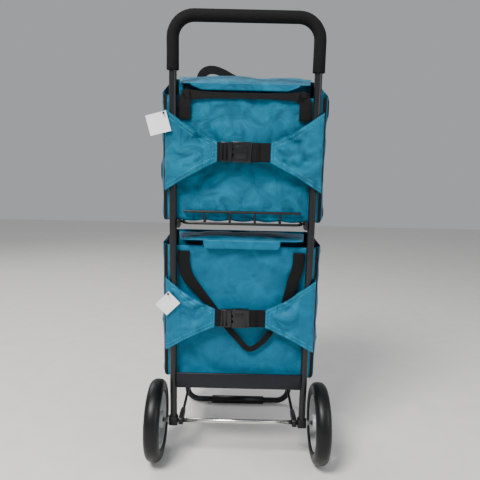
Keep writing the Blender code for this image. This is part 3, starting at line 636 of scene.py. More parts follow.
# %% Wire shelf
shelf_low, shelf_high = span("wire_shelf")
WIRE = 0.006
BAR_WIRE = 0.005
BAR_SPACING = 0.055
RIM_HALF = 0.131
RIM_BEND = 0.018
guard_up = shelf_high.z - WIRE / 2
rim_up = shelf_low.z + WIRE / 2
front = shelf_high.y - WIRE / 2
rear = shelf_low.y + WIRE / 2
half, full, side = RIM_HALF - RIM_BEND, 2 * (RIM_HALF - RIM_BEND), front - rear - 2 * RIM_BEND
wires = [run_tube("rim_wire", (0.0, rear, rim_up), (1, 0, 0), WIRE,
                  [half, ((0, 1, 0), RIM_BEND, 90), side, ((-1, 0, 0), RIM_BEND, 90),
                   full, ((0, -1, 0), RIM_BEND, 90), side, ((1, 0, 0), RIM_BEND, 90), half],
                  sides=16, cap=False),
         run_tube("guard_wire", (-RIM_HALF + 0.004, rear, guard_up), (1, 0, 0), WIRE,
                  [2 * (RIM_HALF - 0.004)], sides=16)]
for index in range(4):
    across = BAR_SPACING * (index - 1.5)
    wires.append(run_tube("bar_wire", (across, rear, guard_up), (0, 0, -1), BAR_WIRE,
                          [guard_up - rim_up - 0.0095, ((0, 1, 0), 0.007, 90),
                           front - rear - 0.006], sides=14))
pivot_low, pivot_high = span("shelf_bracket_right")
for sign in (-1, 1):
    wires.append(run_tube("stub_wire", (sign * RIM_HALF, 0.027, rim_up), (sign, 0, 0),
                          BAR_WIRE, [pivot_high.x - RIM_HALF - 0.0004], sides=14))
settle(join("welded_wire_shelf", wires), "shelf", POWDER_COAT, "wire_shelf",
       slot="painted_tube", degrees=40.0)

# %% [markdown]
# **Parts that are already right.** Flat bars, blocks, pins, washers, rods and
# the rims keep their exact solids. They only need their finish, a rounded edge
# that catches the light, and smooth shading.

# %% Dress the exact parts
for node, finish, edge in (("crossbar", BAR_COAT, 0.0008), ("lower_tray", BAR_COAT, 0.0005),
                           ("axle", STEEL, 0.0), ("foot_sleeve", RUBBER, 0.0)):
    dress(node, finish, edge)
for side in ("left", "right"):
    dress(f"rim_{side}", RIM_PLASTIC, 0.0008)
    dress(f"hub_cap_{side}", BLACK_PLASTIC, 0.0)
    dress(f"axle_holder_{side}", BLACK_PLASTIC, 0.0)
    dress(f"strut_end_{side}", BLACK_PLASTIC, 0.0008)
    dress(f"strut_{side}", BAR_COAT, 0.0)
    dress(f"axle_washer_{side}", ZINC, 0.0002)
    dress(f"shelf_bracket_{side}", POWDER_COAT, 0.0)
    dress(f"foot_plug_{side}", BLACK_PLASTIC, 0.0006)
    for pin in ("tray_pin", "foot_pin", "link_pin"):
        dress(f"{pin}_{side}", ZINC, 0.0004)
for bag in ("upper", "lower"):
    dress(f"{bag}_base_board", FIBRE_BOARD, 0.0005)
    dress(f"{bag}_tag_pin", BLACK_PLASTIC, 0.0)
print("exact parts dressed")

# %% [markdown]
# **Cloth.** Sewn cloth never lies flat: each panel is a little larger than the
# gap between its seams, so it buckles. The simulation does the same. The seams
# are pinned, the cloth between them is grown by one or two percent, and it is
# left to find its own folds. A slow noise gives it somewhere to start, and a
# cap keeps every point out of the tubes and straps beside it.

# %% Let cloth crease


def crumple(piece, held, cap, growth, start_mm, grain, frames=18, sag=0.15):
    """Grow the cloth between the seams that held() names, and cap its moves."""
    mesh = piece.data
    flat = [v.co.copy() for v in mesh.vertices]
    outward = [v.normal.copy() for v in mesh.vertices]
    pins = piece.vertex_groups.new(name="held")
    for spot, away in zip(mesh.vertices, outward):
        if held(spot.co):
            pins.add([spot.index], 1.0, "REPLACE")
            continue
        wave = noise.noise(spot.co * grain) + 0.6 * noise.noise(spot.co * grain * 2.3)
        spot.co += away * (start_mm / 1000) * wave
    cloth = piece.modifiers.new("cloth", "CLOTH")
    fabric = cloth.settings
    fabric.quality = 5
    fabric.mass = 0.06
    fabric.tension_stiffness = fabric.compression_stiffness = 18.0
    fabric.shear_stiffness = 6.0
    fabric.bending_stiffness = 0.3
    fabric.air_damping = 2.0
    fabric.shrink_min = -growth
    fabric.vertex_group_mass = "held"
    fabric.effector_weights.gravity = sag
    cloth.collision_settings.use_collision = False
    cloth.point_cache.frame_start, cloth.point_cache.frame_end = 1, frames
    for frame_number in range(1, frames + 1):
        bpy.context.scene.frame_set(frame_number)
    only(piece)
    bpy.ops.object.modifier_apply(modifier="cloth")
    bpy.context.scene.frame_set(1)
    moved = 0.0
    for spot, place in zip(piece.data.vertices, flat):
        spot.co = place + cap(place, spot.co - place)
        moved = max(moved, (spot.co - place).length)
    piece.vertex_groups.clear()
    print(f"{piece.name}: creased by up to {moved * 1000:.1f} mm")


def limit(value, low, high):
    """Hold a value between two others, turning softly near them."""
    if value >= 0:
        return high * math.tanh(value / high) if high > 0 else 0.0
    return low * math.tanh(value / low) if low < 0 else 0.0


def lay_uv(piece):
    """Lay each face on the UV plane that it faces, at true size in metres."""
    mesh = piece.data
    layer = mesh.uv_layers.active or mesh.uv_layers.new(name="cloth")
    for face in mesh.polygons:
        turned = [abs(c) for c in face.normal]
        first, second = ((1, 2), (0, 2), (0, 1))[turned.index(max(turned))]
        for corner_index in face.loop_indices:
            place = mesh.vertices[mesh.loops[corner_index].vertex_index].co
            layer.data[corner_index].uv = (place[first] + 1.0, place[second] + 1.0)


def set_uvs(mesh, uvs):
    """Give every face corner the UV place of its point."""
    layer = mesh.uv_layers.active
    for index, corner in enumerate(mesh.loops):
        layer.data[index].uv = uvs[corner.vertex_index]


def finish_panel(piece, thickness, offset=0.0):
    """Thickness, then one smoothing step."""
    modify(piece, "SOLIDIFY", thickness=thickness, offset=offset)
    modify(piece, "SUBSURF", levels=1, render_levels=1)


print("cloth helpers ready")

# %% [markdown]
# **The bags** are open boxes. A cube loses its lid, its four upright edges are
# rounded, and straight cuts divide its panels into a fine grid that can crease.
# The rim is higher at the front, so the grid is stretched up towards it.

# %% Cut a bag
CORNER = 0.030
GRID = 0.009


def rim_line(low, high, back_top):
    """How high the sloping rim is at a place."""
    return lambda place: back_top + (high.z - back_top) * (place.y - low.y) / (high.y - low.y)


def bag_shell(bag):
    """An open-topped box of cloth, with round corners and a sloping rim."""
    low, high = span(f"{bag}_bag")
    back_top = max(c.z for c in (TO_ROW.inverted() @ v.co for v in
                                 frame["nodes"][f"{bag}_bag"].data.vertices)
                   if c.y < low.y + 0.001)
    rim = rim_line(low, high, back_top)
    made = block(f"sewn_{bag}_bag", low, (high.x, high.y, back_top))
    edit(made, "FACE", lambda middle, way: way.z > 0.5)
    bpy.ops.mesh.delete(type="FACE")
    edit(made, "EDGE", lambda a, b: abs(a.z - b.z) > 0.1)
    bpy.ops.mesh.bevel(offset=CORNER, segments=6, affect="EDGES")
    cuts = [(0, low.x + CORNER, high.x - CORNER), (1, low.y + CORNER, high.y - CORNER),
            (2, low.z, back_top)]
    for axis, first, last in cuts:
        way = Vector([float(axis == i) for i in range(3)])
        count = round((last - first) / GRID)
        for step in range(0 if axis < 2 else 1, count + (axis < 2)):
            bpy.ops.mesh.select_all(action="SELECT")
            bpy.ops.mesh.bisect(plane_co=way * (first + (last - first) * step / count),
                                plane_no=way)
    object_mode()
    lay_uv(made)
    for spot in made.data.vertices:
        share = (spot.co.z - low.z) / (back_top - low.z)
        spot.co.z = low.z + share * (rim(spot.co) - low.z)
    if bag == "upper":
        for spot in made.data.vertices:
            near_floor = max(0.0, 1 - (spot.co.z - low.z) / 0.030)
            between = abs(math.sin(math.pi * (spot.co.x / BAR_SPACING + 0.5)))
            dip = 0.0036 + (0.0045 * between if abs(spot.co.x) < 0.128 else 0.002)
            spot.co.z -= dip * near_floor
    return made, low, high, rim


print("bag shell ready")

# %% [markdown]
# The seams are held while the cloth creases, and a cap keeps each point away
# from whatever touches the bag: the tubes, the guard wire and the handles.

# %% Hold and cap the cloth


def bag_held(low, high, rim):
    """A test that is true on the rim, the floor and the corner seams of a bag."""
    def held(place):
        corner_x = abs(place.x) > high.x - CORNER * 0.75
        corner_y = place.y < low.y + CORNER * 0.75 or place.y > high.y - CORNER * 0.75
        return (place.z < low.z + 0.002 or place.z > rim(place) - 0.004
                or (corner_x and corner_y))
    return held


def bag_cap(low, high, rear_room):
    """Keep the cloth clear of tubes, straps and handles."""
    def cap(place, move):
        if place.y < low.y + 0.004:
            room = 0.0012 if abs(place.x) > 0.130 else rear_room(place)
            return Vector((move.x * 0.5, limit(move.y, -room, 0.007), move.z * 0.5))
        if place.y > high.y - 0.004:
            room = 0.0012 if 0.090 < abs(place.x) < 0.134 else 0.005
            return Vector((move.x * 0.5, limit(move.y, -0.009, room), move.z * 0.5))
        side = math.copysign(1.0, place.x)
        room = 0.0006 if place.y < low.y + 0.028 else 0.0045
        return Vector((side * limit(move.x * side, -0.011, room),
                       limit(move.y, -0.001, 0.001), move.z * 0.5))
    return cap


def room_behind(bag, place):
    """How far the back panel may bulge: the handles and the guard wire are close."""
    if bag == "lower":
        return 0.0014
    return 0.0012 if place.z > 0.680 else 0.0003 if place.z < 0.512 else 0.0060


print("seams and caps ready")

# %% [markdown]
# A raised hem runs round the rim, and black tape covers the corner seams. The tape
# band is cut wider than the binding, so part of it is painted shade at the corners.

# %% Sew the two bags


def finish_bag(piece, cloth, low, high, rim):
    """Raise the hem and the corner tapes, then give the cloth its thickness."""
    def on_corner(middle, way):
        turn = math.degrees(math.atan2(abs(way.x), abs(way.y)))
        return (abs(way.z) < 0.5 and 28 < turn < 62 and abs(middle.x) > high.x - CORNER
                and not low.y + CORNER < middle.y < high.y - CORNER)

    piece.data.materials.append(cloth)
    piece.data.materials.append(TAPE)
    # The black corner band is partly binding tape and partly painted shade: it is wider than the
    # real binding.
    edit(piece, "FACE", on_corner)
    bpy.context.object.active_material_index = 1
    bpy.ops.object.material_slot_assign()
    bpy.ops.mesh.extrude_region_shrink_fatten(TRANSFORM_OT_shrink_fatten={"value": 0.0006})
    edit(piece, "FACE", lambda middle, way: middle.z > rim(middle) - 0.020
         and not on_corner(middle, way))
    bpy.ops.mesh.extrude_region_shrink_fatten(TRANSFORM_OT_shrink_fatten={"value": 0.0007})
    object_mode()
    finish_panel(piece, 0.0012, -1.0)


for bag, cloth, growth, start, grain in (("upper", UPPER_CLOTH, 0.030, 5.0, 16.0),
                                         ("lower", LOWER_CLOTH, 0.014, 3.0, 10.0)):
    shell, low, high, rim = bag_shell(bag)
    crumple(shell, bag_held(low, high, rim),
            bag_cap(low, high, lambda place: room_behind(bag, place)), growth, start, grain)
    finish_bag(shell, cloth, low, high, rim)
    settle(shell, "frame", None, f"{bag}_bag", slot="teal_fabric", degrees=70.0)

# %% [markdown]
# **Lids and wings** are flat panels with a double-stitched hem. Each starts as
# a grid that is laid out to its cut shape. Every point also stores how far it is
# from the nearest hem, so the material can draw the two rows of stitches at the
# right distance from the edge, however the panel is folded.

# %% A panel with a stitched hem
STITCH_ROWS = (0.0035, 0.0100)
STITCH_HALF = 0.0005
STITCH_LENGTH = 0.004


def stitched(name, shaded_tone, clear, crease):
    """Bag cloth with two sunken rows of stitches that follow the hem."""
    made = coated_polyester(name, shaded_tone, clear, crease)
    tree = made.node_tree
    shader = tree.nodes["Principled BSDF"]
    colour = shader.inputs["Base Color"].links[0].from_socket
    normal = shader.inputs["Normal"].links[0].from_socket
    edge = add_node(tree, "Attribute", attribute_name="hem").outputs["Fac"]
    both = calculate(tree, "ADD", *[calculate(tree, "COMPARE", edge, row, STITCH_HALF)
                                    for row in STITCH_ROWS])
    gaps = bands(tree, add_node(tree, "TexCoord").outputs, STITCH_LENGTH, "DIAGONAL")
    mix = add_node(tree, "Mix", {0: calculate(tree, "MULTIPLY", both, gaps), 6: colour,
                                 7: linear("#2f9dbb")}, data_type="RGBA")
    tree.links.new(mix.outputs[2], shader.inputs["Base Color"])
    pull = add_node(tree, "Bump", {"Height": both, "Strength": 0.8, "Distance": 0.0010,
                                   "Normal": normal}, invert=True)
    tree.links.new(pull.outputs["Normal"], shader.inputs["Normal"])
    return made


# As in the bag cloth, the darker tone is painted shade in the creases and the lighter one the
# lit cloth.
UPPER_PANEL = stitched("hemmed_polyester_creased", "#00425d", "#007ea0", 7.0)
LOWER_PANEL = stitched("hemmed_polyester_smooth", "#00526f", "#007194", 2.2)


def lay_panel(name, across, along, place):
    """A grid laid out by place(s, t), which gives a point, its flat spot and its hem."""
    made = primitive("grid", name, x_subdivisions=across, y_subdivisions=along, size=1.0)
    mesh = made.data
    hem = mesh.attributes.new("hem", "FLOAT", "POINT")
    spots = [place(v.co.x + 0.5, v.co.y + 0.5) for v in mesh.vertices]
    for spot, (point, _, distance) in zip(mesh.vertices, spots):
        spot.co = point
        hem.data[spot.index].value = distance
    set_uvs(mesh, [flat for _, flat, _ in spots])
    return made


print("stitched panels ready")

# %% [markdown]
# **The lids** are sewn to the front rim and lie back over the opening. They
# narrow towards the free edge and have their corners cut off. A lid is light, so
# it arches a little between its hems, and its free edge turns down.

# %% Two lids
LID_THICK, LID_CUT, LID_ARCH = 0.0016, 0.010, 0.005
LID_ROWS, CUT_ROWS = 40, 3          # rows of the grid, and those beside the cut corners


def make_lid(bag, lip_half, taper, short, finish):
    """A trapezium of cloth from the hinge back to the free edge."""
    low, high = span(f"{bag}_lid")
    points = [TO_ROW.inverted() @ v.co for v in frame["nodes"][f"{bag}_lid"].data.vertices]
    depth = high.y - low.y
    half_front = high.x
    half_rear = max(p.x for p in points if p.y < low.y + 0.011)
    hinge_up = max(p.z for p in points if p.y > high.y - 0.001)
    free_up = max(p.z for p in points if p.y < low.y + 0.001)

    def half_width(share):
        return (half_rear + (half_front - half_rear) * share
                - 1.6 * LID_CUT * max(0.0, 1 - share * depth / LID_CUT))

    def place(s, t):
        beside = CUT_ROWS / LID_ROWS
        share = (LID_CUT * t / beside if t < beside else
                 LID_CUT + (depth - LID_CUT) * (t - beside) / (1 - beside)) / depth
        share = max(0.0, min(1.0, share))
        half = half_width(share)
        across = (2 * s - 1) * half
        rise = LID_ARCH * math.sin(math.pi * s) ** 0.7 * math.sin(math.pi * share) ** 0.8
        up = free_up + (hinge_up - free_up) * share + rise
        hem = min(share * depth, half - abs(across)) + 0.0003
        return (across, low.y + share * depth, up), (across + 1.0, share * depth + 1.0), hem

    made = lay_panel(f"{bag}_lid_panel", 56, LID_ROWS, place)

    def held(spot):
        return (spot.y > high.y - 0.008 or spot.y < low.y + 0.006
                or abs(spot.x) > half_width((spot.y - low.y) / depth) - 0.004)

    def cap(spot, move):
        return Vector((move.x * 0.3, move.y * 0.3, limit(move.z, -0.0030, 0.0050)))

    crumple(made, held, cap, 0.012, 2.5, 14.0, sag=0.0)
    edit(made, "EDGE", lambda a, b: max(a.y, b.y) < low.y + 0.0002
         and max(abs(a.x), abs(b.x)) < lip_half + taper)
    lip = free_up - low.z - short
    for step in range(3):
        bpy.ops.mesh.extrude_region_move(
            TRANSFORM_OT_translate={"value": (0.0, 0.0003, -lip / 3)})
    object_mode()
    for spot in made.data.vertices:
        drop = free_up - spot.co.z
        if spot.co.y < low.y + 0.0015 and drop > lip * 0.3:
            beyond = max(0.0, abs(spot.co.x) - lip_half) / (taper + 0.004)
            spot.co.z = free_up - drop * (1 - 0.85 * min(1.0, beyond))
    finish_panel(made, LID_THICK, -1.0)
    settle(made, f"{bag}_flap", finish, f"{bag}_lid", slot="teal_fabric", degrees=70.0)


make_lid("upper", 0.090, 0.026, 0.0006, UPPER_PANEL)
make_lid("lower", 0.080, 0.006, 0.0045, LOWER_PANEL)

# %% [markdown]
# **The wings** hold the bags to the frame. Each is sewn to the side of its bag,
# wraps round the upright and narrows to the width of the webbing, which pulls it
# flat. The pull leaves creases that run from the buckle out to the wide edge.

# %% Four wings
NARROW, WIDE = 0.021, 0.085     # half the height at the buckle and at the wide edge
WRAP = 0.010                    # radius of the fold round an upright
WING_SKIN = 0.0011              # from the panel's middle to the solid's surface


def make_wing(bag, word, finish):
    """A tapering flap that wraps an upright and meets the webbing."""
    side = 1 if word == "right" else -1
    low, high = span(f"{bag}_wing_{word}")
    web_low, web_high = span(f"{bag}_webbing_{word}")
    inner = min(abs(low.x), abs(high.x))
    outer = max(abs(low.x), abs(high.x)) - WING_SKIN
    behind = low.y + WING_SKIN
    end = high.y
    middle = (web_low.z + web_high.z) / 2
    stretch = [outer - WRAP - inner, math.pi / 2 * WRAP, end - behind - WRAP]
    total = sum(stretch)

    def along(distance):
        if distance < stretch[0]:
            return inner + distance, behind
        if distance < stretch[0] + stretch[1]:
            turn = (distance - stretch[0]) / WRAP
            return (outer - WRAP + WRAP * math.sin(turn),
                    behind + WRAP - WRAP * math.cos(turn))
        return outer, behind + WRAP + distance - stretch[0] - stretch[1]

    def place(s, t):
        distance = total * (s if side > 0 else 1 - s)
        across, forward = along(distance)
        share = min(1.0, (across - inner) / (outer - inner))
        bottom = middle - NARROW + (low.z - middle + NARROW) * share
        top = middle + NARROW + (high.z - middle - NARROW) * share
        curve = 0.0035 * math.sin(math.pi * share)
        bottom, top = bottom + curve, top - curve
        up = bottom + (top - bottom) * t
        hem = min((up - bottom) * 0.78, (top - up) * 0.78, distance + 0.001)
        return (side * across, forward, up), (side * distance + 1.0, up + 1.0), hem + 0.0002

    made = lay_panel(f"{bag}_wing_panel_{word}", 64, 40, place)

    def held(spot):
        return abs(spot.x) < inner + 0.006 or spot.y > end - 0.012

    def cap(spot, move):
        near_tube = abs(spot.x) > 0.134
        near_web = abs(spot.x) < inner + 0.026
        inward = 0.0010 if near_tube else 0.0003 if near_web else 0.004
        outward = 0.0035 if near_tube else 0.0016 if near_web else 0.0060
        if spot.y > behind + 0.004:
            return Vector((limit(move.x * side, -0.0004, 0.0008) * side, 0.0, move.z * 0.3))
        return Vector((move.x * 0.2, limit(move.y, -outward, inward), move.z * 0.35))

    crumple(made, held, cap, 0.022 if bag == "upper" else 0.012, 4.5, 26.0, frames=20)
    reach = outer - inner
    crease_depth = 0.0026 if bag == "upper" else 0.0010
    for spot in made.data.vertices:
        share = max(0.0, min(1.0, (abs(spot.co.x) - inner) / reach))
        fan = (spot.co.z - middle) / (NARROW + (WIDE - NARROW) * share)
        pull = math.sin(fan * 7.5 + 2.0 * share) * math.sin(math.pi * min(1.0, share * 1.15))
        if spot.co.y < behind + 0.004:
            spot.co.y -= crease_depth * max(0.0, pull) * (1 - share) ** 0.5
    finish_panel(made, 0.0014)
    settle(made, "frame", finish, f"{bag}_wing_{word}", slot="teal_fabric", degrees=70.0)


for bag, finish in (("upper", UPPER_PANEL), ("lower", LOWER_PANEL)):
    for word in ("left", "right"):
        make_wing(bag, word, finish)

# %% [markdown]
# ** Carry handles** are loops of the same webbing. They keep their full width
# where they are sewn to the bag, and are folded in half and stitched where the
# hand goes; here the strip only narrows there. The loop is a long strip, laid
# along a smooth curve through a few stations, with the ribs of the weave across it.

# %% Straps


def smooth_route(stations, steps):
    """A Catmull-Rom curve through the stations, at evenly spaced points."""
    points = [Vector(s) for s in stations]
    padded_ends = [2 * points[0] - points[1]] + points + [2 * points[-1] - points[-2]]
    fine = []
    for a, b, c, d in zip(padded_ends, padded_ends[1:], padded_ends[2:], padded_ends[3:]):
        for step in range(12):
            t = step / 12
            fine.append(0.5 * (2 * b + (c - a) * t + (2 * a - 5 * b + 4 * c - d) * t * t
                               + (3 * b - a - 3 * c + d) * t ** 3))
    fine.append(points[-1])
    lengths = [0.0]
    for a, b in zip(fine, fine[1:]):
        lengths.append(lengths[-1] + (b - a).length)
    route, at = [], 0
    for step in range(steps + 1):
        goal = lengths[-1] * step / steps
        while at < len(fine) - 2 and lengths[at + 1] < goal:
            at += 1
        share = (goal - lengths[at]) / max(1e-9, lengths[at + 1] - lengths[at])
        route.append(fine[at].lerp(fine[at + 1], min(1.0, share)))
    return route, lengths[-1]


def lay_strap(name, stations, wide_ends, wide_middle, thickness, steps=90):
    """A strip of webbing along the stations, its flat side towards the camera."""
    route, length = smooth_route(stations, steps)
    made = primitive("grid", name, x_subdivisions=steps, y_subdivisions=8, size=1.0)
    mesh = made.data
    uvs = [None] * len(mesh.vertices)
    for spot in mesh.vertices:
        index = round((spot.co.x + 0.5) * steps)
        side = spot.co.y * 2
        along = (route[min(steps, index + 1)] - route[max(0, index - 1)]).normalized()
        sideways = along.cross(Vector((0, 1, 0))).normalized()
        ends = min(1.0, 2.5 * abs(2 * index / steps - 1) ** 3)
        half = (wide_middle + (wide_ends - wide_middle) * ends) / 2
        uvs[spot.index] = (length * index / steps + 1.0, half * side + 1.0)
        spot.co = route[index] + sideways * half * side
    set_uvs(mesh, uvs)
    modify(made, "SOLIDIFY", thickness=thickness, offset=0.0)
    round_edges(made, thickness * 0.3, degrees=60.0)
    return made


def round_corners(corners, radius):
    """Replace each inner corner of a path by five points on an arc."""
    points = [Vector(c) for c in corners]
    path = [points[0]]
    for before, here, after in zip(points, points[1:], points[2:]):
        start = here + (before - here).normalized() * radius
        end = here + (after - here).normalized() * radius
        path += [(start * (1 - t) ** 2 + here * 2 * t * (1 - t) + end * t * t)
                 for t in (0.0, 0.25, 0.5, 0.75, 1.0)]
    return path + [points[-1]]


print("strap helpers ready")

# %% [markdown]
# Each handle is laid on the route of its plain solid. On the upper rear handle,
# the box-and-cross patch that sews its ends to the bag is a shallow raised frame of thread.

# %% Four carry handles
STRAP = 0.026
STRAP_THICK = 0.0020
HANG = 0.0013               # from a strap's middle to the solid's surface


def sewn_patch(place, half_wide, half_tall):
    """A stitched rectangle with a cross, made of thin ridges of thread."""
    x, y, z = place
    corners = [Vector((x + a * (half_wide - 0.003), y, z + b * (half_tall - 0.003)))
               for a, b in ((-1, -1), (1, -1), (1, 1), (-1, 1))]
    ridges = []
    for first, last in ((0, 1), (1, 2), (2, 3), (3, 0), (0, 2), (1, 3)):
        start, end = corners[first], corners[last]
        way = end - start
        ridges.append(primitive("cylinder", "thread", vertices=6, radius=0.0004,
                                depth=way.length, location=(start + end) / 2,
                                rotation=way.to_track_quat("Z", "Y").to_euler()))
    return ridges


def carry_handle(bag, side, body, stations, wide_middle, steps=90, patches=()):
    """Lay a handle along its stations, add its patches and hand it over."""
    name = f"{bag}_{side}_carry_handle"
    made = lay_strap(name, stations, STRAP, wide_middle, STRAP_THICK, steps)
    settle(join(name, [made, *patches]), body, WEBBING, f"{bag}_{side}_handle",
           slot="webbing", degrees=40.0)


low, high = span("upper_rear_handle")
flat = (low.y + high.y) / 2
leg = high.x - STRAP / 2
level = high.z - STRAP / 2 + 0.0055
patches = [ridge for side in (-leg, leg) for ridge in
           sewn_patch((side, flat - STRAP_THICK / 2, low.z + 0.013), 0.013, 0.012)]
carry_handle("upper", "rear", "rear_handle", round_corners(
    [(-leg, flat, low.z), (-leg, flat, level), (leg, flat, level), (leg, flat, low.z)],
    0.018), 0.012, patches=patches)

OFF_BAG = 0.0030            # from the bag's front to a strap sewn on it
SEWN = 0.114                # where the front handles are sewn, from the middle
outside = span("upper_bag")[1].y + OFF_BAG
stand = span("upper_front_handle")[1].y - HANG
top = span("upper_bag")[1].z
shape = [(-SEWN, outside, -0.055), (-SEWN, outside, -0.035), (-0.113, stand, -0.012),
         (-0.108, stand, 0.012), (-0.096, stand, 0.023), (-0.078, stand, 0.025),
         (-0.055, stand, 0.018), (-0.020, stand, 0.002), (0.030, stand, -0.004),
         (0.075, stand, -0.003), (0.098, stand, -0.006), (0.110, stand, -0.022),
         (SEWN, outside, -0.040), (SEWN, outside, -0.055)]
carry_handle("upper", "front", "front_handle", [(x, y, top + up) for x, y, up in shape],
             0.019)

low, high = span("lower_rear_handle")
flat = high.y - HANG
under = flat - 0.005        # where it passes under the buckle
leg = high.x - STRAP / 2
up = high.z
middle = (span("lower_webbing_left")[0].z + span("lower_webbing_left")[1].z) / 2
carry_handle("lower", "rear", "frame", [
    (-leg, flat, up), (-leg, flat, up - 0.030), (-leg + 0.009, flat, up - 0.060),
    (-leg + 0.036, flat, up - 0.094), (-0.060, flat - 0.004, middle + 0.018),
    (-0.033, under, middle - 0.020), (-0.005, under, middle - 0.052),
    (0.022, under, middle - 0.077), (0.050, under, middle - 0.060),
    (0.074, flat - 0.004, middle - 0.028), (0.094, flat, middle + 0.010),
    (0.108, flat, up - 0.094), (0.118, flat, up - 0.060), (0.126, flat, up - 0.030),
    (leg, flat, up)], 0.013, steps=140)

outside = span("lower_bag")[1].y + OFF_BAG
high = span("lower_front_handle")[1]
stand, hang = high.y - HANG, high.z
carry_handle("lower", "front", "low_handle", round_corners(
    [(-SEWN, outside, hang), (-SEWN, stand, hang - 0.034), (-0.060, stand, hang - 0.114),
     (0.060, stand, hang - 0.114), (SEWN, stand, hang - 0.034), (SEWN, outside, hang)],
    0.016), 0.014)

# %% [markdown]
# **Webbing** runs from behind each wing to the buckle. On the left it passes
# through the ladder of the prong half and doubles back, which is how the strap
# is tightened; on the right it is sewn round the bar of the socket.

# %% Webbing beside the buckles


WEBBING_THICK = 0.0014


def straight_webbing(bag, word):
    """A flat run of webbing with a doubled end at the buckle."""
    name = f"{bag}_webbing_run_{word}"
    low, high = span(f"{bag}_webbing_{word}")
    flat, up, wide = (low.y + high.y) / 2, (low.z + high.z) / 2, high.z - low.z
    run = lay_strap(name, [(x, flat, up) for x in (low.x, (low.x + high.x) / 2, high.x)],
                    wide, wide, WEBBING_THICK, steps=30)
    near, away = (high.x, -1) if word == "left" else (low.x, 1)
    second = lay_strap("doubled", [(near + away * reach, flat - rise, up) for reach, rise in
                                   ((0.0, 0.0017), (0.009, 0.0018), (0.018, 0.0016))],
                       wide - 0.0006, wide - 0.0006, WEBBING_THICK, steps=16)
    patch = sewn_patch((near + away * 0.0135, flat - 0.0025, up), 0.006, wide / 2)
    return settle(join(name, [run, second] + patch), "frame", WEBBING,
                  f"{bag}_webbing_{word}", slot="webbing", degrees=40.0)


RIGHT_WEBBING = {}
for bag in ("upper", "lower"):
    straight_webbing(bag, "left")
    RIGHT_WEBBING[bag] = straight_webbing(bag, "right")

# %% [markdown]
# **Side-release buckles.** The socket is a flat hollow box, open at its mouth,
# with a window cut in each side where the sprung prongs show and are squeezed.
# The other half is a frame with bars for the webbing, and three prongs. Cutting
# one block from another (the Boolean modifier) gives moulded parts like these
# their crisp hollows.

# %% Two buckles


def cut(piece, *cutters):
    """Cut blocks out of a piece."""
    for cutter in cutters:
        modify(piece, "BOOLEAN", operation="DIFFERENCE", object=cutter, solver="EXACT")
        bpy.data.objects.remove(cutter)


def soft_block(name, low, high, edge):
    """A block with small rounded edges."""
    made = block(name, low, high)
    round_edges(made, edge)
    return made


WALL = 0.0018
CRISP = 0.0003              # bevel of the cut edges
LONG_WAY = 0.01             # a cutter reaches this far past the surface


def make_buckle(bag):
    """Both halves of a side-release buckle."""
    low, high = span(f"{bag}_buckle_socket")
    middle_y, middle_z = (low.y + high.y) / 2, (low.z + high.z) / 2
    socket = soft_block(f"{bag}_buckle_socket_body", low, high, 0.0016)
    window_y = (low.y + 0.0012, high.y - 0.0012)
    holes = [((low.x - LONG_WAY, low.x + 0.027), (low.y + WALL, high.y - WALL),
              (low.z + WALL, high.z - WALL)),
             ((low.x + 0.0075, low.x + 0.0235), window_y, (high.z - 0.0052, high.z + LONG_WAY)),
             ((low.x + 0.0075, low.x + 0.0235), window_y, (low.z - LONG_WAY, low.z + 0.0052)),
             ((high.x - 0.0085, high.x - 0.0045), (low.y - LONG_WAY, low.y + 0.0022),
              (low.z + 0.0035, high.z - 0.0035)),
             ((low.x - LONG_WAY, low.x + 0.0035), (low.y - LONG_WAY, low.y + 0.01),
              (middle_z - 0.0095, middle_z + 0.0095))]
    cut(socket, *[block("hole", *zip(*hole)) for hole in holes])
    round_edges(socket, CRISP)
    plate = soft_block("raised_plate", (low.x + 0.0065, low.y - 0.00035, low.z + 0.0085),
                       (high.x - 0.0115, low.y + 0.0010, high.z - 0.0085), 0.0005)
    settle(join(socket.name, [socket, plate]), f"{bag}_socket", BUCKLE_PLASTIC,
           f"{bag}_buckle_socket", slot="black_plastic", degrees=30.0)

    base_low, base_high = span(f"{bag}_buckle_prongs")
    mouth = low.x - 0.0002
    base = soft_block(f"{bag}_buckle_ladder", base_low, (mouth, base_high.y, base_high.z),
                      0.0014)
    cut(base, *[block("slot", (base_low.x + first, base_low.y - LONG_WAY, base_low.z + 0.0030),
                      (base_low.x + last, base_high.y - 0.0030, base_high.z - 0.0030))
                for first, last in ((0.0035, 0.0075), (0.0115, 0.0160))])
    round_edges(base, CRISP)
    thick = (high.y - low.y) / 2 - WALL - 0.0010
    # each prong: how far off the middle, half its height, where it starts and ends
    shapes = [(0.0, 0.0028, -0.003, 0.0235, 0.0008)]
    for sign in (-1, 1):
        shapes += [(sign * 0.0135, 0.0024, -0.003, 0.0215, 0.0008),
                   (sign * 0.0170, 0.0024, 0.0085, 0.0215, 0.0010)]
    prongs = [soft_block("prong", (mouth + first, middle_y - thick, middle_z + off - half),
                         (mouth + last, middle_y + thick, middle_z + off + half), edge)
              for off, half, first, last, edge in shapes]
    settle(join(base.name, [base] + prongs), "frame", BUCKLE_PLASTIC,
           f"{bag}_buckle_prongs", slot="black_plastic", degrees=30.0)


for bag in ("upper", "lower"):
    make_buckle(bag)

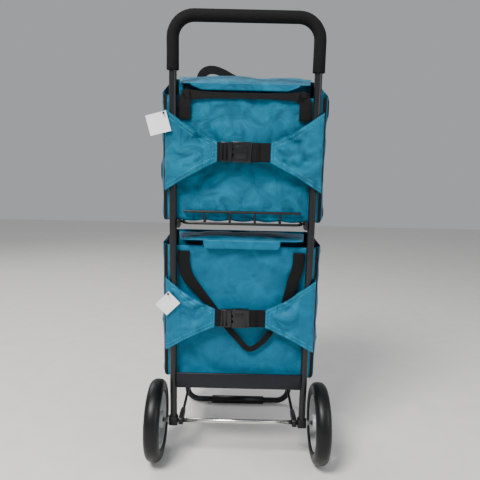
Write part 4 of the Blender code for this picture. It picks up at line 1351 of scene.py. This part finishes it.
# %% [markdown]
# **Swing tags** are blank cards on a loop of plastic. Card holds a curl once it
# has been bent, so the lower one is curved about its long diagonal.

# %% Two swing tags


TAG = 0.044
TAG_TALL = 0.042
TAG_THICK = 0.0005


def make_tag(bag, tilt, curl, wide):
    """A card with a hole near its top corner, tilted and a little curled."""
    low, high = span(f"{bag}_tag")
    middle = (low + high) / 2
    made = primitive("grid", f"{bag}_swing_tag", x_subdivisions=24, y_subdivisions=24,
                     size=1.0)
    lean_over = Matrix.Rotation(tilt, 3, "Y")
    for spot in made.data.vertices:
        a, b = (spot.co.x + 0.5) * wide - TAG / 2, spot.co.y * TAG_TALL
        bend = 2 * (a + b) / (wide + TAG_TALL)
        spot.co = middle + lean_over @ Vector((a, 0.0, b))
        spot.co.y -= curl * (bend ** 2 - 0.25) + 0.0002
    modify(made, "SOLIDIFY", thickness=TAG_THICK, offset=0.0)
    pin_low, pin_high = span(f"{bag}_tag_pin")
    hole_at = Vector((pin_low.x + 0.0008, middle.y, (pin_low.z + pin_high.z) / 2))
    cut(made, primitive("cylinder", "punch", vertices=24, radius=0.0016, depth=0.02,
                        location=hole_at, rotation=(math.pi / 2, 0.0, 0.0)))
    settle(made, f"{bag}_card", CARD, f"{bag}_tag", slot="card", degrees=50.0)


make_tag("upper", math.radians(-15.0), 0.0012, TAG)
make_tag("lower", math.radians(45.0), 0.0026, 0.036)

# %% [markdown]
# ** Folding.** When the base or the shelf folds up, the cloth above it collapses
# flat against the uprights. Here each soft piece is only given a mesh of its own;
# nothing flattens it.

# %% Give the folding cloth meshes of their own
OUT = Vector(square_out)


def fold_flat(joint, keep, *names):
    """Give each piece a mesh of its own and print the joint; nothing is flattened."""
    for name in names:
        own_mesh(bpy.data.objects[name])
    print(joint, "flattens", ", ".join(names))


fold_flat("platform_fold", 0.04, "sewn_lower_bag", "lower_lid_panel", "lower_base_board",
          "lower_front_carry_handle")
fold_flat("shelf_fold", 0.06, "sewn_upper_bag", "upper_lid_panel", "upper_base_board",
          "upper_front_carry_handle")
for bag in ("upper", "lower"):
    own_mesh(RIGHT_WEBBING[bag])
